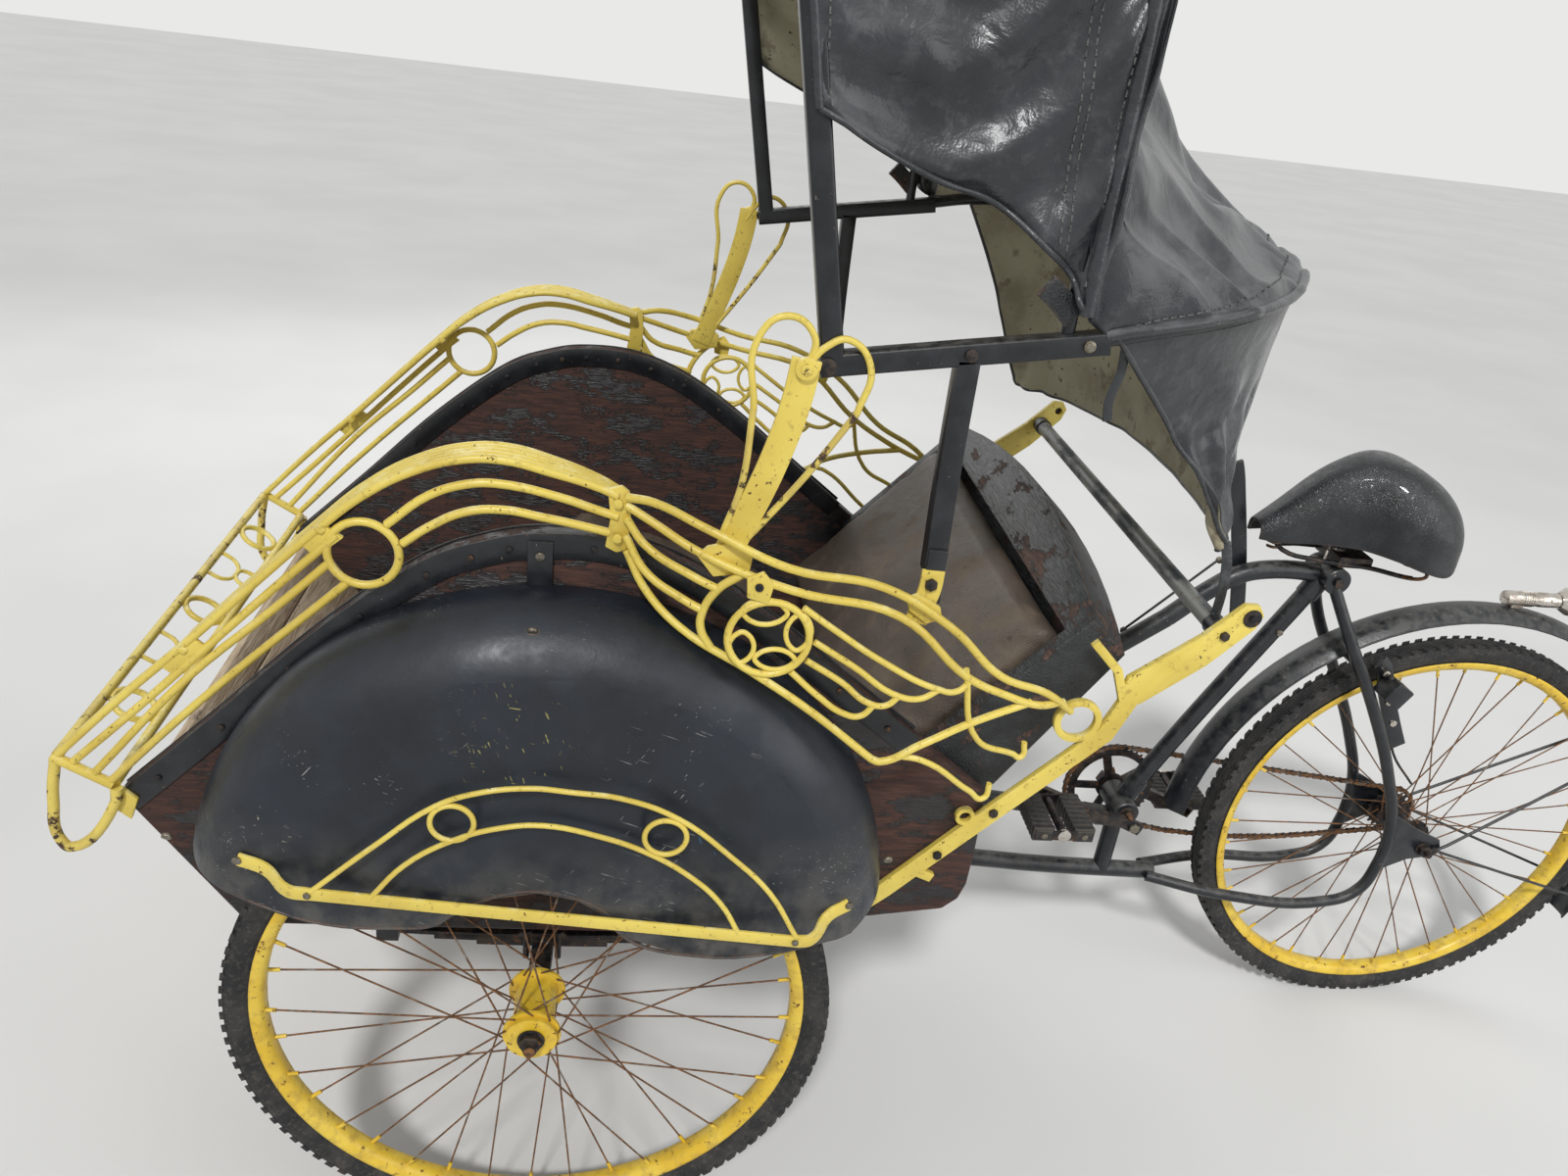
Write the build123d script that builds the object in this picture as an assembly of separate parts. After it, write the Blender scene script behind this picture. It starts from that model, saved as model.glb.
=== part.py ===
"""Cycle rickshaw: half a bicycle pushes a two-wheeled cabin, which turns on a kingpin to steer.

Millimetres. While modelling, x runs forward from the rear axle, y to the rider's left and z up from the
ground. Pieces of the left side are modelled once and mirrored. At export the whole part is moved back, so
that its origin lies under the middle of its length.
"""
from build123d import *
import math
import os

os.makedirs("parts", exist_ok=True)

# Wheels
WHEELBASE = 1392.0
TRACK_HALF = 434.0
TYRE_R = 355.5
TYRE_WIDTH = 38.0
RIM_EDGE_R = 323.5
RIM_DEPTH = 15.0
RIM_HALF = 15.0
RIM_WALL = 2.5
RIM_WELL = 0.6
SPOKES = 36
SPOKE_D = 2.4
SPOKE_LEAD = 52.0
HUB_BARREL_D = 52.0
HUB_HALF = 44.0
HUB_FLANGE_R = 34.0
HUB_FLANGE_THICK = 4.0
HUB_CAP_R = 30.0
STUB_D = 16.0
STUB_END = 497.0
NUT_D = 27.0
NUT_THICK = 10.0

# Fits
SEAT_GAP = 0.3
RUN_GAP = 0.6

# Bicycle half
BRACKET_X = 505.0
BRACKET_Z = 380.0
BRACKET_D = 42.0
BRACKET_LONG = 68.0
SPINDLE_D = 17.0
TUBE_D = 28.0
STAY_D = 18.0
STAY_Y = 60.0
CLUSTER_R = 20.0
DROPOUT_THICK = 5.0
REAR_AXLE_D = 10.0
REAR_HUB_D = 34.0
REAR_HUB_HALF = 33.0
REAR_FLANGE_R = 30.0
CRANK_LONG = 185.0
CRANK_ANGLE = 24.0
CRANK_WIDE = 18.0
CRANK_THICK = 12.0
CRANK_ROOT_Y = 56.0
CRANK_TIP_Y = 88.0
PEDAL_WIDE = 92.0
PEDAL_LONG = 92.0
PEDAL_THICK = 24.0
PEDAL_PIN_D = 14.0
PEDAL_GAP = 6.0
CHAIN_Y = -45.0
CHAIN_HIGH = 8.0
CHAIN_WIDE = 8.0
CHAINRING_R = 76.0
CHAINRING_THICK = 3.0
SPROCKET_R = 42.0
CHAINRING_BENDS = 12
SPROCKET_BENDS = 8
CANTLE_Z = 919.4
HORN_Z = 891.7
GUARD_R = 414.0
GUARD_WIDTH = 60.0
GUARD_LIP = 16.0
GUARD_WALL = 2.0
GUARD_STAY_D = 5.0
GUARD_FROM = 3.0
GUARD_TO = 205.0

# Kingpin, on which the cabin turns
KINGPIN_X = 1000.0
KINGPIN_D = 26.0
HEAD_D = 46.0
HEAD_LOW = 238.0
HEAD_HIGH = 408.0

# Cabin box
PANEL_IN = 343.0
PANEL_THICK = 22.0
PANEL_OUT = PANEL_IN + PANEL_THICK
PANEL_LOW = 418.0
BOARD = 18.0
FLOOR_TOP = 440.0
TOE_FOOT_X = 1737.0
TOE_HEAD_X = 1857.0
TOE_HEAD_Z = 603.0
SEAT_FRONT_X = 1435.0
SEAT_DROP = 16.2
SEAT_HIGH_Z = 612.0
SEAT_REAR_X = 960.0
CUSHION_THICK = 88.0
CUSHION_LONG = 346.0
CUSHION_HALF = 330.0
BACK_X = 958.0
BACK_Z = 708.0
BACK_LEAN = 132.2
BACK_TOP = 246.0
BACK_CROWN = 288.0
BACK_HALF = PANEL_IN - SEAT_GAP
CHEEK_THICK = 22.0

# Springs, axle and underframe
AXLE_BEAM = 26.0
SPRING_Y = 318.0
SPRING_WIDE = 44.0
SPRING_HALF_LONG = 185.0
LEAF = 6.0
LEAVES = 3
CHASSIS = 26.0
CHASSIS_Y = 270.0
REAR_MEMBER_X = 900.0
REAR_MEMBER_Z = 474.0

# Ironwork
ROD = 9.0
THIN_ROD = 7.0
BAR_SIDES = 4
BAND_RODS = 5
BUMPER_D = 12.0
BUMPER_HALF = 375.0
BUMPER_HIGH_X = 1912.0
BUMPER_HIGH_Z = 655.0
BUMPER_LOW_X = 1857.0
BUMPER_LOW_Z = 622.0
JUNCTION_X = 1316.0
LUG_THICK = 8.0
LUG_Y = PANEL_OUT + SEAT_GAP + LUG_THICK / 2
LUG_HOLE_D = 12.0
PUSH_X = 640.0
PUSH_Z = 886.0
PUSH_D = 22.0

# Fender
FENDER_X = 1383.0
FENDER_Z = 502.0
FENDER_R = 394.0
FENDER_WALL = 3.0
FENDER_OUT = 497.0
TRIM_Y = 500.0
TRIM_ROD = 6.0

# Hood
HOOD_Y = 410.0
HOOD_TUBE = 22.0
HOOD_BRACKET = 5.0
HOOD_FACE = HOOD_Y + HOOD_TUBE / 2 + SEAT_GAP + HOOD_BRACKET / 2
HOOD_SPRING_Z = 1540.0
BOW_D = 18.0
HOOD_CROWN = 1790.0
CLOTH = 3.0

# Shapes shared by the pieces

def polygon_section(diameter, sides):
    """Corners, across and up, of a regular section round the centre line."""
    turn = 2 * math.pi / sides
    return [(math.cos(turn * (k + 0.5)) * diameter / 2, math.sin(turn * (k + 0.5)) * diameter / 2)
            for k in range(sides)]


def flat_radius(diameter, sides):
    """From the centre line of such a section to its flats, which is where it rests on a neighbour."""
    return diameter / 2 * math.cos(math.pi / sides)


def flat_section(across, up):
    return [(across / 2, up / 2), (-across / 2, up / 2), (-across / 2, -up / 2), (across / 2, -up / 2)]


def solid_from(faces):
    return Solid(Shell([Face(Wire.make_polygon(corners, close=True)) for corners in faces]))


def mitred(points, section, up=(0, 1, 0), closed=False):
    """A bar of one section along straight runs, cut to a mitre where two runs meet."""
    path = [Vector(*p) for p in points]
    count = len(path)
    run_count = count if closed else count - 1
    runs = [(path[(i + 1) % count] - path[i]).normalized() for i in range(run_count)]
    lift = Vector(*up)
    lift = (lift - runs[0] * lift.dot(runs[0])).normalized()
    side = lift.cross(runs[0])
    ring = [path[0] + side * a + lift * b for a, b in section]
    if closed:
        cut = (runs[-1] + runs[0]).normalized()
        ring = [p + runs[0] * ((path[0] - p).dot(cut) / runs[0].dot(cut)) for p in ring]
    rings = [ring]
    for i, run in enumerate(runs):
        end = path[(i + 1) % count]
        follow = runs[(i + 1) % run_count] if (closed or i + 1 < run_count) else run
        cut = (run + follow).normalized()
        ring = [p + run * ((end - p).dot(cut) / run.dot(cut)) for p in ring]
        rings.append(ring)
    if closed:
        rings[-1] = rings[0]
    sides = len(section)
    faces = []
    for near, far in zip(rings, rings[1:]):
        for k in range(sides):
            j = (k + 1) % sides
            faces.append([near[k], near[j], far[j], far[k]])
    if not closed:
        faces += [rings[0], rings[-1]]
    return solid_from(faces)


def rod(points, diameter, sides=BAR_SIDES, closed=False):
    along = Vector(*points[1]) - Vector(*points[0])
    up = (0, 1, 0) if abs(along.normalized().Y) < 0.9 else (0, 0, 1)
    return mitred(points, polygon_section(diameter, sides), up, closed)


def flat_bar(points, across, up_size, up=(0, 1, 0)):
    return mitred(points, flat_section(across, up_size), up)


def smooth(keys, steps=3):
    """Points of a curve through the keys, with so many steps between two keys."""
    pts = [Vector(*k) for k in keys]
    pts = [pts[0] * 2 - pts[1]] + pts + [pts[-1] * 2 - pts[-2]]
    curve = []
    for a, b, c, d in zip(pts, pts[1:], pts[2:], pts[3:]):
        for k in range(steps):
            t = k / steps
            curve.append((b * 2 + (c - a) * t + (a * 2 - b * 5 + c * 4 - d) * t ** 2
                          + (b * 3 - a - c * 3 + d) * t ** 3) * 0.5)
    curve.append(pts[-2])
    return [tuple(p) for p in curve]


def plate(outline, y, thick):
    """A plate with its outline in x and z, from y to y + thick."""
    face = Plane.XZ.offset(-y) * make_face(Polyline(*outline, close=True))
    return extrude(face, amount=-thick)


def disc(x, z, radius, y, thick):
    return extrude(Plane.XZ.offset(-y) * (Pos(x, z) * Circle(radius)), amount=-thick)


def flat_ring(x, z, radius, wide, y, thick):
    """A ring bent from bar, lying in the x-z plane and centred on y."""
    ring = Pos(x, z) * (Circle(radius) - Circle(radius - wide))
    return extrude(Plane.XZ.offset(-(y - thick / 2)) * ring, amount=-thick)


def block(x, y, z):
    """A box from (low, high) along each axis."""
    size = [high - low for low, high in (x, y, z)]
    return Pos(x[0], y[0], z[0]) * Box(*size, align=(Align.MIN, Align.MIN, Align.MIN))


def turned(profile, x, y, z):
    """A body turned about a line along Y through x and z, from a profile of (radius, offset from y)."""
    face = make_face(Polyline(*[(r, across, 0) for r, across in profile], close=True))
    return Pos(x, y, z) * revolve(face, Axis.Y)


def sheet(grid, thick):
    """A closed skin over rows of points, thickened towards the side that its rows and columns face."""
    rows, columns = len(grid), len(grid[0])
    outer = [[Vector(*p) for p in row] for row in grid]
    inner = []
    for i in range(rows):
        line = []
        for j in range(columns):
            along = outer[min(i + 1, rows - 1)][j] - outer[max(i - 1, 0)][j]
            across = outer[i][min(j + 1, columns - 1)] - outer[i][max(j - 1, 0)]
            line.append(outer[i][j] + along.cross(across).normalized() * thick)
        inner.append(line)
    faces = []
    for skin in (outer, inner):
        for i in range(rows - 1):
            for j in range(columns - 1):
                a, b, c, d = skin[i][j], skin[i][j + 1], skin[i + 1][j + 1], skin[i + 1][j]
                faces += [[a, b, c], [a, c, d]]
    rim = [(0, j) for j in range(columns)] + [(i, columns - 1) for i in range(1, rows)]
    rim += [(rows - 1, j) for j in range(columns - 2, -1, -1)] + [(i, 0) for i in range(rows - 2, 0, -1)]
    for (i, j), (k, m) in zip(rim, rim[1:] + rim[:1]):
        faces += [[outer[i][j], outer[k][m], inner[k][m]], [outer[i][j], inner[k][m], inner[i][j]]]
    return solid_from(faces)


def joined(pieces):
    """Pieces welded into one solid."""
    return pieces[0].fuse(*pieces[1:]) if len(pieces) > 1 else pieces[0]


def right_of(piece):
    return piece.mirror(Plane.XZ)


def both(piece):
    return Compound([piece, right_of(piece)])


def between(table, x):
    """Value at x of a table of (x, value) rows, straight between the rows."""
    if x <= table[0][0]:
        return table[0][1]
    for (x0, v0), (x1, v1) in zip(table, table[1:]):
        if x <= x1:
            return v0 + (v1 - v0) * (x - x0) / (x1 - x0)
    return table[-1][1]


# Plan of the side ironwork: x, and how far out it stands there
LUG_FACE = LUG_Y + LUG_THICK / 2 + SEAT_GAP + flat_radius(ROD, BAR_SIDES)
SIDE_PLAN = [(600, LUG_FACE), (805, LUG_FACE), (850, 404), (980, 440), (1160, 447), (1240, 425), (1330, 378),
             (1920, 375)]


def side(x, inset=0.0):
    return between(SIDE_PLAN, x) - inset


def side_curve(keys, steps=3, inset=0.0):
    """A smooth curve of x and z keys, laid on the plan of the side ironwork."""
    flat = smooth([(x, 0, z) for x, z in keys], steps)
    return [(x, side(x, inset), z) for x, y, z in flat]


# Wheels

def rim_inside(radius):
    """Half the rim's inner width at a radius: it widens from the well to the edge."""
    well = RIM_EDGE_R - RIM_DEPTH + RIM_WALL
    foot, edge = RIM_HALF * RIM_WELL, RIM_HALF - RIM_WALL
    return foot + (edge - foot) * (radius - well) / (RIM_EDGE_R - well)


def make_tyre(x, y):
    half = TYRE_WIDTH / 2
    bead = rim_inside(RIM_EDGE_R + 3) - SEAT_GAP
    toe = rim_inside(RIM_EDGE_R - 9) - SEAT_GAP
    section = [  # radius, across
        (RIM_EDGE_R - 9, -toe), (RIM_EDGE_R + 3, -bead), (TYRE_R - 15, -half), (TYRE_R - 4, -half * 0.72),
        (TYRE_R, -half * 0.24), (TYRE_R, half * 0.24), (TYRE_R - 4, half * 0.72), (TYRE_R - 15, half),
        (RIM_EDGE_R + 3, bead), (RIM_EDGE_R - 9, toe)]
    return turned(section, x, y, TYRE_R)


def make_rim(x, y, flange_low, flange_high, hub_r):
    low = RIM_EDGE_R - RIM_DEPTH
    well = low + RIM_WALL
    section = [  # radius, across
        (low, -RIM_HALF * 0.7), (low, RIM_HALF * 0.7), (RIM_EDGE_R - 6, RIM_HALF), (RIM_EDGE_R, RIM_HALF),
        (RIM_EDGE_R, RIM_HALF - RIM_WALL), (well, RIM_HALF * RIM_WELL), (well, -RIM_HALF * RIM_WELL),
        (RIM_EDGE_R, RIM_WALL - RIM_HALF), (RIM_EDGE_R, -RIM_HALF), (RIM_EDGE_R - 6, -RIM_HALF)]
    pieces = [turned(section, x, y, TYRE_R)]
    for k in range(SPOKES):
        at_rim = math.radians(360 / SPOKES * k)
        high = k % 2 == 0
        lead = math.radians(SPOKE_LEAD if k % 4 < 2 else -SPOKE_LEAD)
        flange = flange_high if high else flange_low
        out = 1 if high else -1
        proud = HUB_FLANGE_THICK / 2 + SPOKE_D / 2 + 2 * SEAT_GAP
        foot_y = y + flange + out * (proud if k % 4 < 2 else -proud)
        tip_r = low - SEAT_GAP
        foot = (x + hub_r * math.cos(at_rim + lead), foot_y, TYRE_R + hub_r * math.sin(at_rim + lead))
        tip = (x + tip_r * math.cos(at_rim), y + out * RIM_HALF * 0.3, TYRE_R + tip_r * math.sin(at_rim))
        pieces.append(rod([foot, tip], SPOKE_D, 3))
    return Compound(pieces)


def make_front_hub(x, y):
    bore = STUB_D / 2 + RUN_GAP
    barrel = HUB_BARREL_D / 2
    half = HUB_FLANGE_THICK / 2
    section = [  # radius, across: the barrel with a flange for the spokes near each end
        (bore, -HUB_HALF), (barrel, -HUB_HALF), (barrel, -HUB_HALF + 10 - half),
        (HUB_FLANGE_R, -HUB_HALF + 10 - half), (HUB_FLANGE_R, -HUB_HALF + 10 + half),
        (barrel, -HUB_HALF + 10 + half), (barrel, HUB_HALF - 10 - half), (HUB_FLANGE_R, HUB_HALF - 10 - half),
        (HUB_FLANGE_R, HUB_HALF - 10 + half), (barrel, HUB_HALF - 10 + half), (HUB_CAP_R, HUB_HALF - 4),
        (HUB_CAP_R, HUB_HALF), (bore, HUB_HALF)]
    return turned(section, x, y, TYRE_R)


def wheel_under_chain(pitch_r, links):
    """Radius of a toothed wheel that clears the straight links bent round it."""
    return pitch_r * math.cos(math.pi / 2 / links) - CHAIN_HIGH / 2 - SEAT_GAP


def make_rear_hub():
    bore = REAR_AXLE_D / 2 + RUN_GAP
    barrel = REAR_HUB_D / 2
    end = REAR_HUB_HALF
    flange = end - 6
    section = [  # radius, across
        (bore, -end), (barrel, -end), (barrel, -flange - 2), (REAR_FLANGE_R, -flange - 2),
        (REAR_FLANGE_R, -flange + 2), (barrel, -flange + 2), (barrel, flange - 2), (REAR_FLANGE_R, flange - 2),
        (REAR_FLANGE_R, flange + 2), (barrel, flange + 2), (barrel, end), (bore, end)]
    hub = turned(section, 0, 0, TYRE_R)
    root = wheel_under_chain(SPROCKET_R, SPROCKET_BENDS)
    carrier = turned([(bore, CHAIN_Y - 2), (root, CHAIN_Y - 2), (root, CHAIN_Y + 2),
                      (barrel + 2, CHAIN_Y + 4), (barrel + 2, -end), (bore, -end)], 0, 0, TYRE_R)
    return joined([hub, carrier])


# Bicycle half, which is the root body

def make_main_frame():
    tubes = [  # diameter, then the route in x and z
        (TUBE_D, [(292, 808), (341, 712), (443, 512), (BRACKET_X, BRACKET_Z)]),
        (TUBE_D, [(276, 807), (382, 807), (425, 795), (459, 771), (515, 718), (KINGPIN_X, 330)]),
        (TUBE_D, [(415, 243), (622, 250), (730, 258), (KINGPIN_X, 270)]),
        (TUBE_D, [(BRACKET_X, 350), (647, 369), (900, 392)]),
        (TUBE_D, [(BRACKET_X, BRACKET_Z), (BRACKET_X, 248)])]
    pieces = [rod([(x, 0, z) for x, z in route], size, 8) for size, route in tubes]
    stay = smooth([(290, 24, 804), (255, STAY_Y - 12, 734), (181, STAY_Y, 618), (108, STAY_Y, 490),
                   (70, STAY_Y, 395), (66, STAY_Y, 320), (84, STAY_Y, 262), (135, STAY_Y, 238),
                   (300, STAY_Y - 8, 238), (430, 16, 244)], 2)
    left_stay = rod(stay, STAY_D, 6)
    dropout = plate([(77, 422), (40, 402), (-28, 372), (-28, 340), (20, 333), (74, 300)],
                    STAY_Y - DROPOUT_THICK / 2, DROPOUT_THICK)
    pieces += [left_stay, right_of(left_stay), dropout, right_of(dropout)]
    cluster = Pos(288, 0, 808) * Rot(90, 0, 0) * Cylinder(CLUSTER_R, 66)
    bridge = rod([(222, -STAY_Y, 682), (222, STAY_Y, 682)], 12, 8)
    shell = Pos(BRACKET_X, 0, BRACKET_Z) * Rot(90, 0, 0) * Cylinder(BRACKET_D / 2, BRACKET_LONG)
    head_mid = (HEAD_LOW + HEAD_HIGH) / 2
    head = Pos(KINGPIN_X, 0, head_mid) * Cylinder(HEAD_D / 2, HEAD_HIGH - HEAD_LOW)
    frame = joined(pieces + [cluster, bridge, shell, head])
    frame -= disc(BRACKET_X, BRACKET_Z, SPINDLE_D / 2 + RUN_GAP, -BRACKET_LONG, 2 * BRACKET_LONG)
    frame -= Pos(KINGPIN_X, 0, head_mid) * Cylinder(KINGPIN_D / 2 + RUN_GAP, 400)
    frame -= disc(0, TYRE_R, REAR_AXLE_D / 2 + SEAT_GAP, -100, 200)
    return frame


def make_rear_axle():
    half = STAY_Y + DROPOUT_THICK / 2
    bolt = disc(0, TYRE_R, REAR_AXLE_D / 2, -half - 20, 2 * half + 40)
    nuts = []
    for out in (1, -1):
        nut = Plane.XZ.offset(-out * (half + SEAT_GAP)) * (Pos(0, TYRE_R) * RegularPolygon(11, 6))
        nuts.append(extrude(nut, amount=-out * NUT_THICK))
        inner = half - DROPOUT_THICK - SEAT_GAP
        cone = Plane.XZ.offset(-out * inner) * (Pos(0, TYRE_R) * Circle(9))
        reach = inner - REAR_HUB_HALF - 1 if out > 0 else inner + CHAIN_Y - 3
        nuts.append(extrude(cone, amount=out * reach))
    return joined([bolt] + nuts)


def make_mudguard():
    half = GUARD_WIDTH / 2
    inner = GUARD_R - GUARD_WALL
    section = [  # radius, across
        (GUARD_R - GUARD_LIP, -half), (GUARD_R - 5, -half + 3), (GUARD_R, -half * 0.4), (GUARD_R, half * 0.4),
        (GUARD_R - 5, half - 3), (GUARD_R - GUARD_LIP, half), (GUARD_R - GUARD_LIP, half - GUARD_WALL),
        (inner - 5, half - 3 - GUARD_WALL), (inner, half * 0.35), (inner, -half * 0.35),
        (inner - 5, GUARD_WALL + 3 - half), (GUARD_R - GUARD_LIP, GUARD_WALL - half)]
    face = make_face(Polyline(*[(r, across, 0) for r, across in section], close=True))
    face = Rot(0, -GUARD_FROM, 0) * face
    guard = Pos(12, 0, TYRE_R + 4) * revolve(face, Axis((0, 0, 0), (0, -1, 0)),
                                            revolution_arc=GUARD_TO - GUARD_FROM)
    stays = []
    for out in (1, -1):
        foot_y = out * (STAY_Y + DROPOUT_THICK / 2 + SEAT_GAP + flat_radius(GUARD_STAY_D, 4))
        for angle in (150, 198):
            turn = math.radians(angle)
            tip_r = GUARD_R - 8
            tip = (12 + tip_r * math.cos(turn), out * (half + 1), TYRE_R + 4 + tip_r * math.sin(turn))
            knee = (-38, foot_y, TYRE_R - 18 * math.tan(turn))
            stays.append(rod([(-20, foot_y, TYRE_R), knee, tip], GUARD_STAY_D, 4))
    return joined([guard] + stays)


def make_saddle():
    stations = [  # x, half width, crown height, edge height
        (421, 17, 878, 858), (390, 26, 893, 862), (340, 34, 926, 870), (290, 48, 962, 878),
        (240, 76, 966, 876), (185, 98, 955, 868), (150, 104, 944, 862), (120, 92, 926, 858)]
    rows = []
    for x, half, crown, edge in stations:
        row = []
        for k in range(9):
            turn = math.pi * k / 8
            across = math.cos(turn)
            rise = math.sin(turn) ** 0.7 if 0 < k < 8 else 0.0
            row.append((x, half * math.copysign(abs(across) ** 0.7, across), edge + (crown - edge) * rise))
        rows.append(row)
    return sheet(rows, -5)


def coil(x, y, low, high, radius, turns, wire):
    count = 7
    points = []
    for k in range(int(turns * count) + 1):
        turn = 2 * math.pi * k / count
        points.append((x + radius * math.cos(turn), y + radius * math.sin(turn),
                       low + (high - low) * k / (turns * count)))
    return rod(points, wire, 4)


def make_saddle_springs():
    post = block((275, 299), (-12, 12), (808 + CLUSTER_R + SEAT_GAP, 846))
    clamp = block((246, 299), (-34, 34), (832, 848))
    rails = [rod([(385, 0, 846), (330, out * 28, 838), (250, out * 36, 834), (150, out * 60, 832)], 8)
             for out in (1, -1)]
    coils = [coil(150, out * 60, 832, CANTLE_Z + 1, 15, 4, 5) for out in (1, -1)]
    cantle = rod([(150, 72, CANTLE_Z), (150, -72, CANTLE_Z)], 8)
    nose = coil(372, 0, 842, 872, 11, 3, 5)
    horn = rod([(383, 0, 868), (378, 0, HORN_Z)], 8)
    return joined([post, clamp, cantle, nose, horn] + rails + coils)


def make_chain():
    """A loop round the chainring and the sprocket, whose lower run sags."""
    dx = BRACKET_X
    dz = BRACKET_Z - TYRE_R
    lean = math.degrees(math.atan2(dz, dx))
    spread = math.degrees(math.asin((CHAINRING_R - SPROCKET_R) / math.hypot(dx, dz)))
    loop = []
    for k in range(CHAINRING_BENDS + 1):
        turn = math.radians(lean + 90 + spread - (k / CHAINRING_BENDS) * (180 + 2 * spread))
        loop.append((BRACKET_X + CHAINRING_R * math.cos(turn), BRACKET_Z + CHAINRING_R * math.sin(turn)))
    loop += [(390, 292), (260, 285), (130, 292)]
    for k in range(SPROCKET_BENDS + 1):
        turn = math.radians(lean - 90 - spread - (k / SPROCKET_BENDS) * (180 - 2 * spread))
        loop.append((SPROCKET_R * math.cos(turn), TYRE_R + SPROCKET_R * math.sin(turn)))
    points = [(x, CHAIN_Y, z) for x, z in loop]
    return mitred(points, flat_section(CHAIN_HIGH, CHAIN_WIDE), (0, 1, 0), closed=True)


def make_tail_lamp():
    z = TYRE_R + 4 + GUARD_R + 14
    tube = Pos(-58, 0, z) * Rot(0, 90, 0) * Cylinder(11, 96)
    bell = Pos(-112, 0, z) * Rot(0, -90, 0) * Cone(11, 22, 22)
    foot = block((-40, -20), (-8, 8), (TYRE_R + 4 + GUARD_R - 0.8, z))
    return joined([tube, bell, foot])


# Cranks and pedals

def crank_point(radius, y, side_sign):
    turn = math.radians(CRANK_ANGLE)
    return (BRACKET_X + side_sign * radius * math.cos(turn), y,
            BRACKET_Z + side_sign * radius * math.sin(turn))


def make_crank_arms():
    pieces = [disc(BRACKET_X, BRACKET_Z, SPINDLE_D / 2, -CRANK_ROOT_Y - 6, 2 * CRANK_ROOT_Y + 12)]
    across = Vector(-math.sin(math.radians(CRANK_ANGLE)), 0, math.cos(math.radians(CRANK_ANGLE)))
    for out in (1, -1):
        route = [crank_point(r, out * y, out) for r, y in
                 [(-14, CRANK_ROOT_Y + 6), (22, CRANK_ROOT_Y + 6), (70, CRANK_TIP_Y - 6),
                  (CRANK_LONG + 10, CRANK_TIP_Y)]]
        pieces.append(mitred(route, flat_section(CRANK_THICK, CRANK_WIDE), tuple(across)))
    arms = joined(pieces)
    for out in (1, -1):
        x, y, z = crank_point(CRANK_LONG, 0, out)
        arms -= disc(x, z, PEDAL_PIN_D / 2 + RUN_GAP, out * CRANK_TIP_Y - 20, 40)
    return arms


def make_chainring():
    outer = wheel_under_chain(CHAINRING_R, CHAINRING_BENDS)
    ring = Circle(outer) - Circle(outer - 12)
    spider = Circle(24) - Circle(SPINDLE_D / 2 + SEAT_GAP)
    arms = [Rot(0, 0, 72 * k) * (Pos((outer + 10) / 2, 0) * Rectangle(outer - 20, 14)) for k in range(5)]
    face = ring + spider
    for arm in arms:
        face += arm
    face -= Circle(SPINDLE_D / 2 + SEAT_GAP)
    face = Plane.XZ.offset(-(CHAIN_Y - CHAINRING_THICK / 2)) * (Pos(BRACKET_X, BRACKET_Z) * face)
    return extrude(face, amount=-CHAINRING_THICK)


def make_pedal(out):
    x, y, z = crank_point(CRANK_LONG, 0, out)
    start = CRANK_TIP_Y + CRANK_THICK / 2 + PEDAL_GAP
    pin = disc(x, z, PEDAL_PIN_D / 2, CRANK_TIP_Y - 8, PEDAL_GAP + PEDAL_WIDE)
    pieces = [pin]
    for lower, upper in ((-PEDAL_LONG / 2, -14), (14, PEDAL_LONG / 2)):
        pieces.append(block((x + lower, x + upper), (start, start + PEDAL_WIDE),
                            (z - PEDAL_THICK / 2, z + PEDAL_THICK / 2)))
    for y0 in (start + 4, start + PEDAL_WIDE - 8):
        pieces.append(block((x - PEDAL_LONG / 2 + 5, x + PEDAL_LONG / 2 - 5), (y0, y0 + 4), (z - 9, z + 9)))
    pedal = joined(pieces)
    return pedal if out > 0 else right_of(pedal)


# Cabin

def make_kingpin():
    pin = Pos(KINGPIN_X, 0, 0) * Cylinder(KINGPIN_D / 2, 240, align=(Align.CENTER, Align.CENTER, Align.MIN))
    pin = Pos(0, 0, HEAD_LOW - 20) * pin
    nut = Plane.XY.offset(HEAD_LOW - 20) * (Pos(KINGPIN_X, 0) * RegularPolygon(23, 6))
    collar = Plane.XY.offset(HEAD_HIGH + 1) * (Pos(KINGPIN_X, 0) * Circle(HEAD_D / 2))
    bed = PANEL_LOW - SEAT_GAP - 6
    return joined([pin, extrude(nut, amount=18), extrude(collar, amount=bed - SEAT_GAP - HEAD_HIGH - 1)])


def make_underframe():
    """Two long members with cross members under the boards, and the bed that the kingpin hangs from."""
    top = PANEL_LOW - SEAT_GAP
    low = top - CHASSIS
    members = []
    for out in (1, -1):
        y0 = out * CHASSIS_Y - CHASSIS / 2
        members.append(block((KINGPIN_X - 50, 1610), (y0, y0 + CHASSIS), (low, top)))
    for x in (WHEELBASE - SPRING_HALF_LONG, WHEELBASE + SPRING_HALF_LONG):
        members.append(block((x - CHASSIS / 2, x + CHASSIS / 2), (-PANEL_OUT + 4, PANEL_OUT - 4), (low, top)))
    reach = CHASSIS_Y + CHASSIS / 2
    members.append(block((KINGPIN_X - 42, KINGPIN_X + 42), (-reach, reach), (top - 6, top + CHASSIS)))
    frame = joined(members)
    return frame - Pos(KINGPIN_X, 0, top) * Cylinder(KINGPIN_D / 2 + SEAT_GAP, 200)


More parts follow.
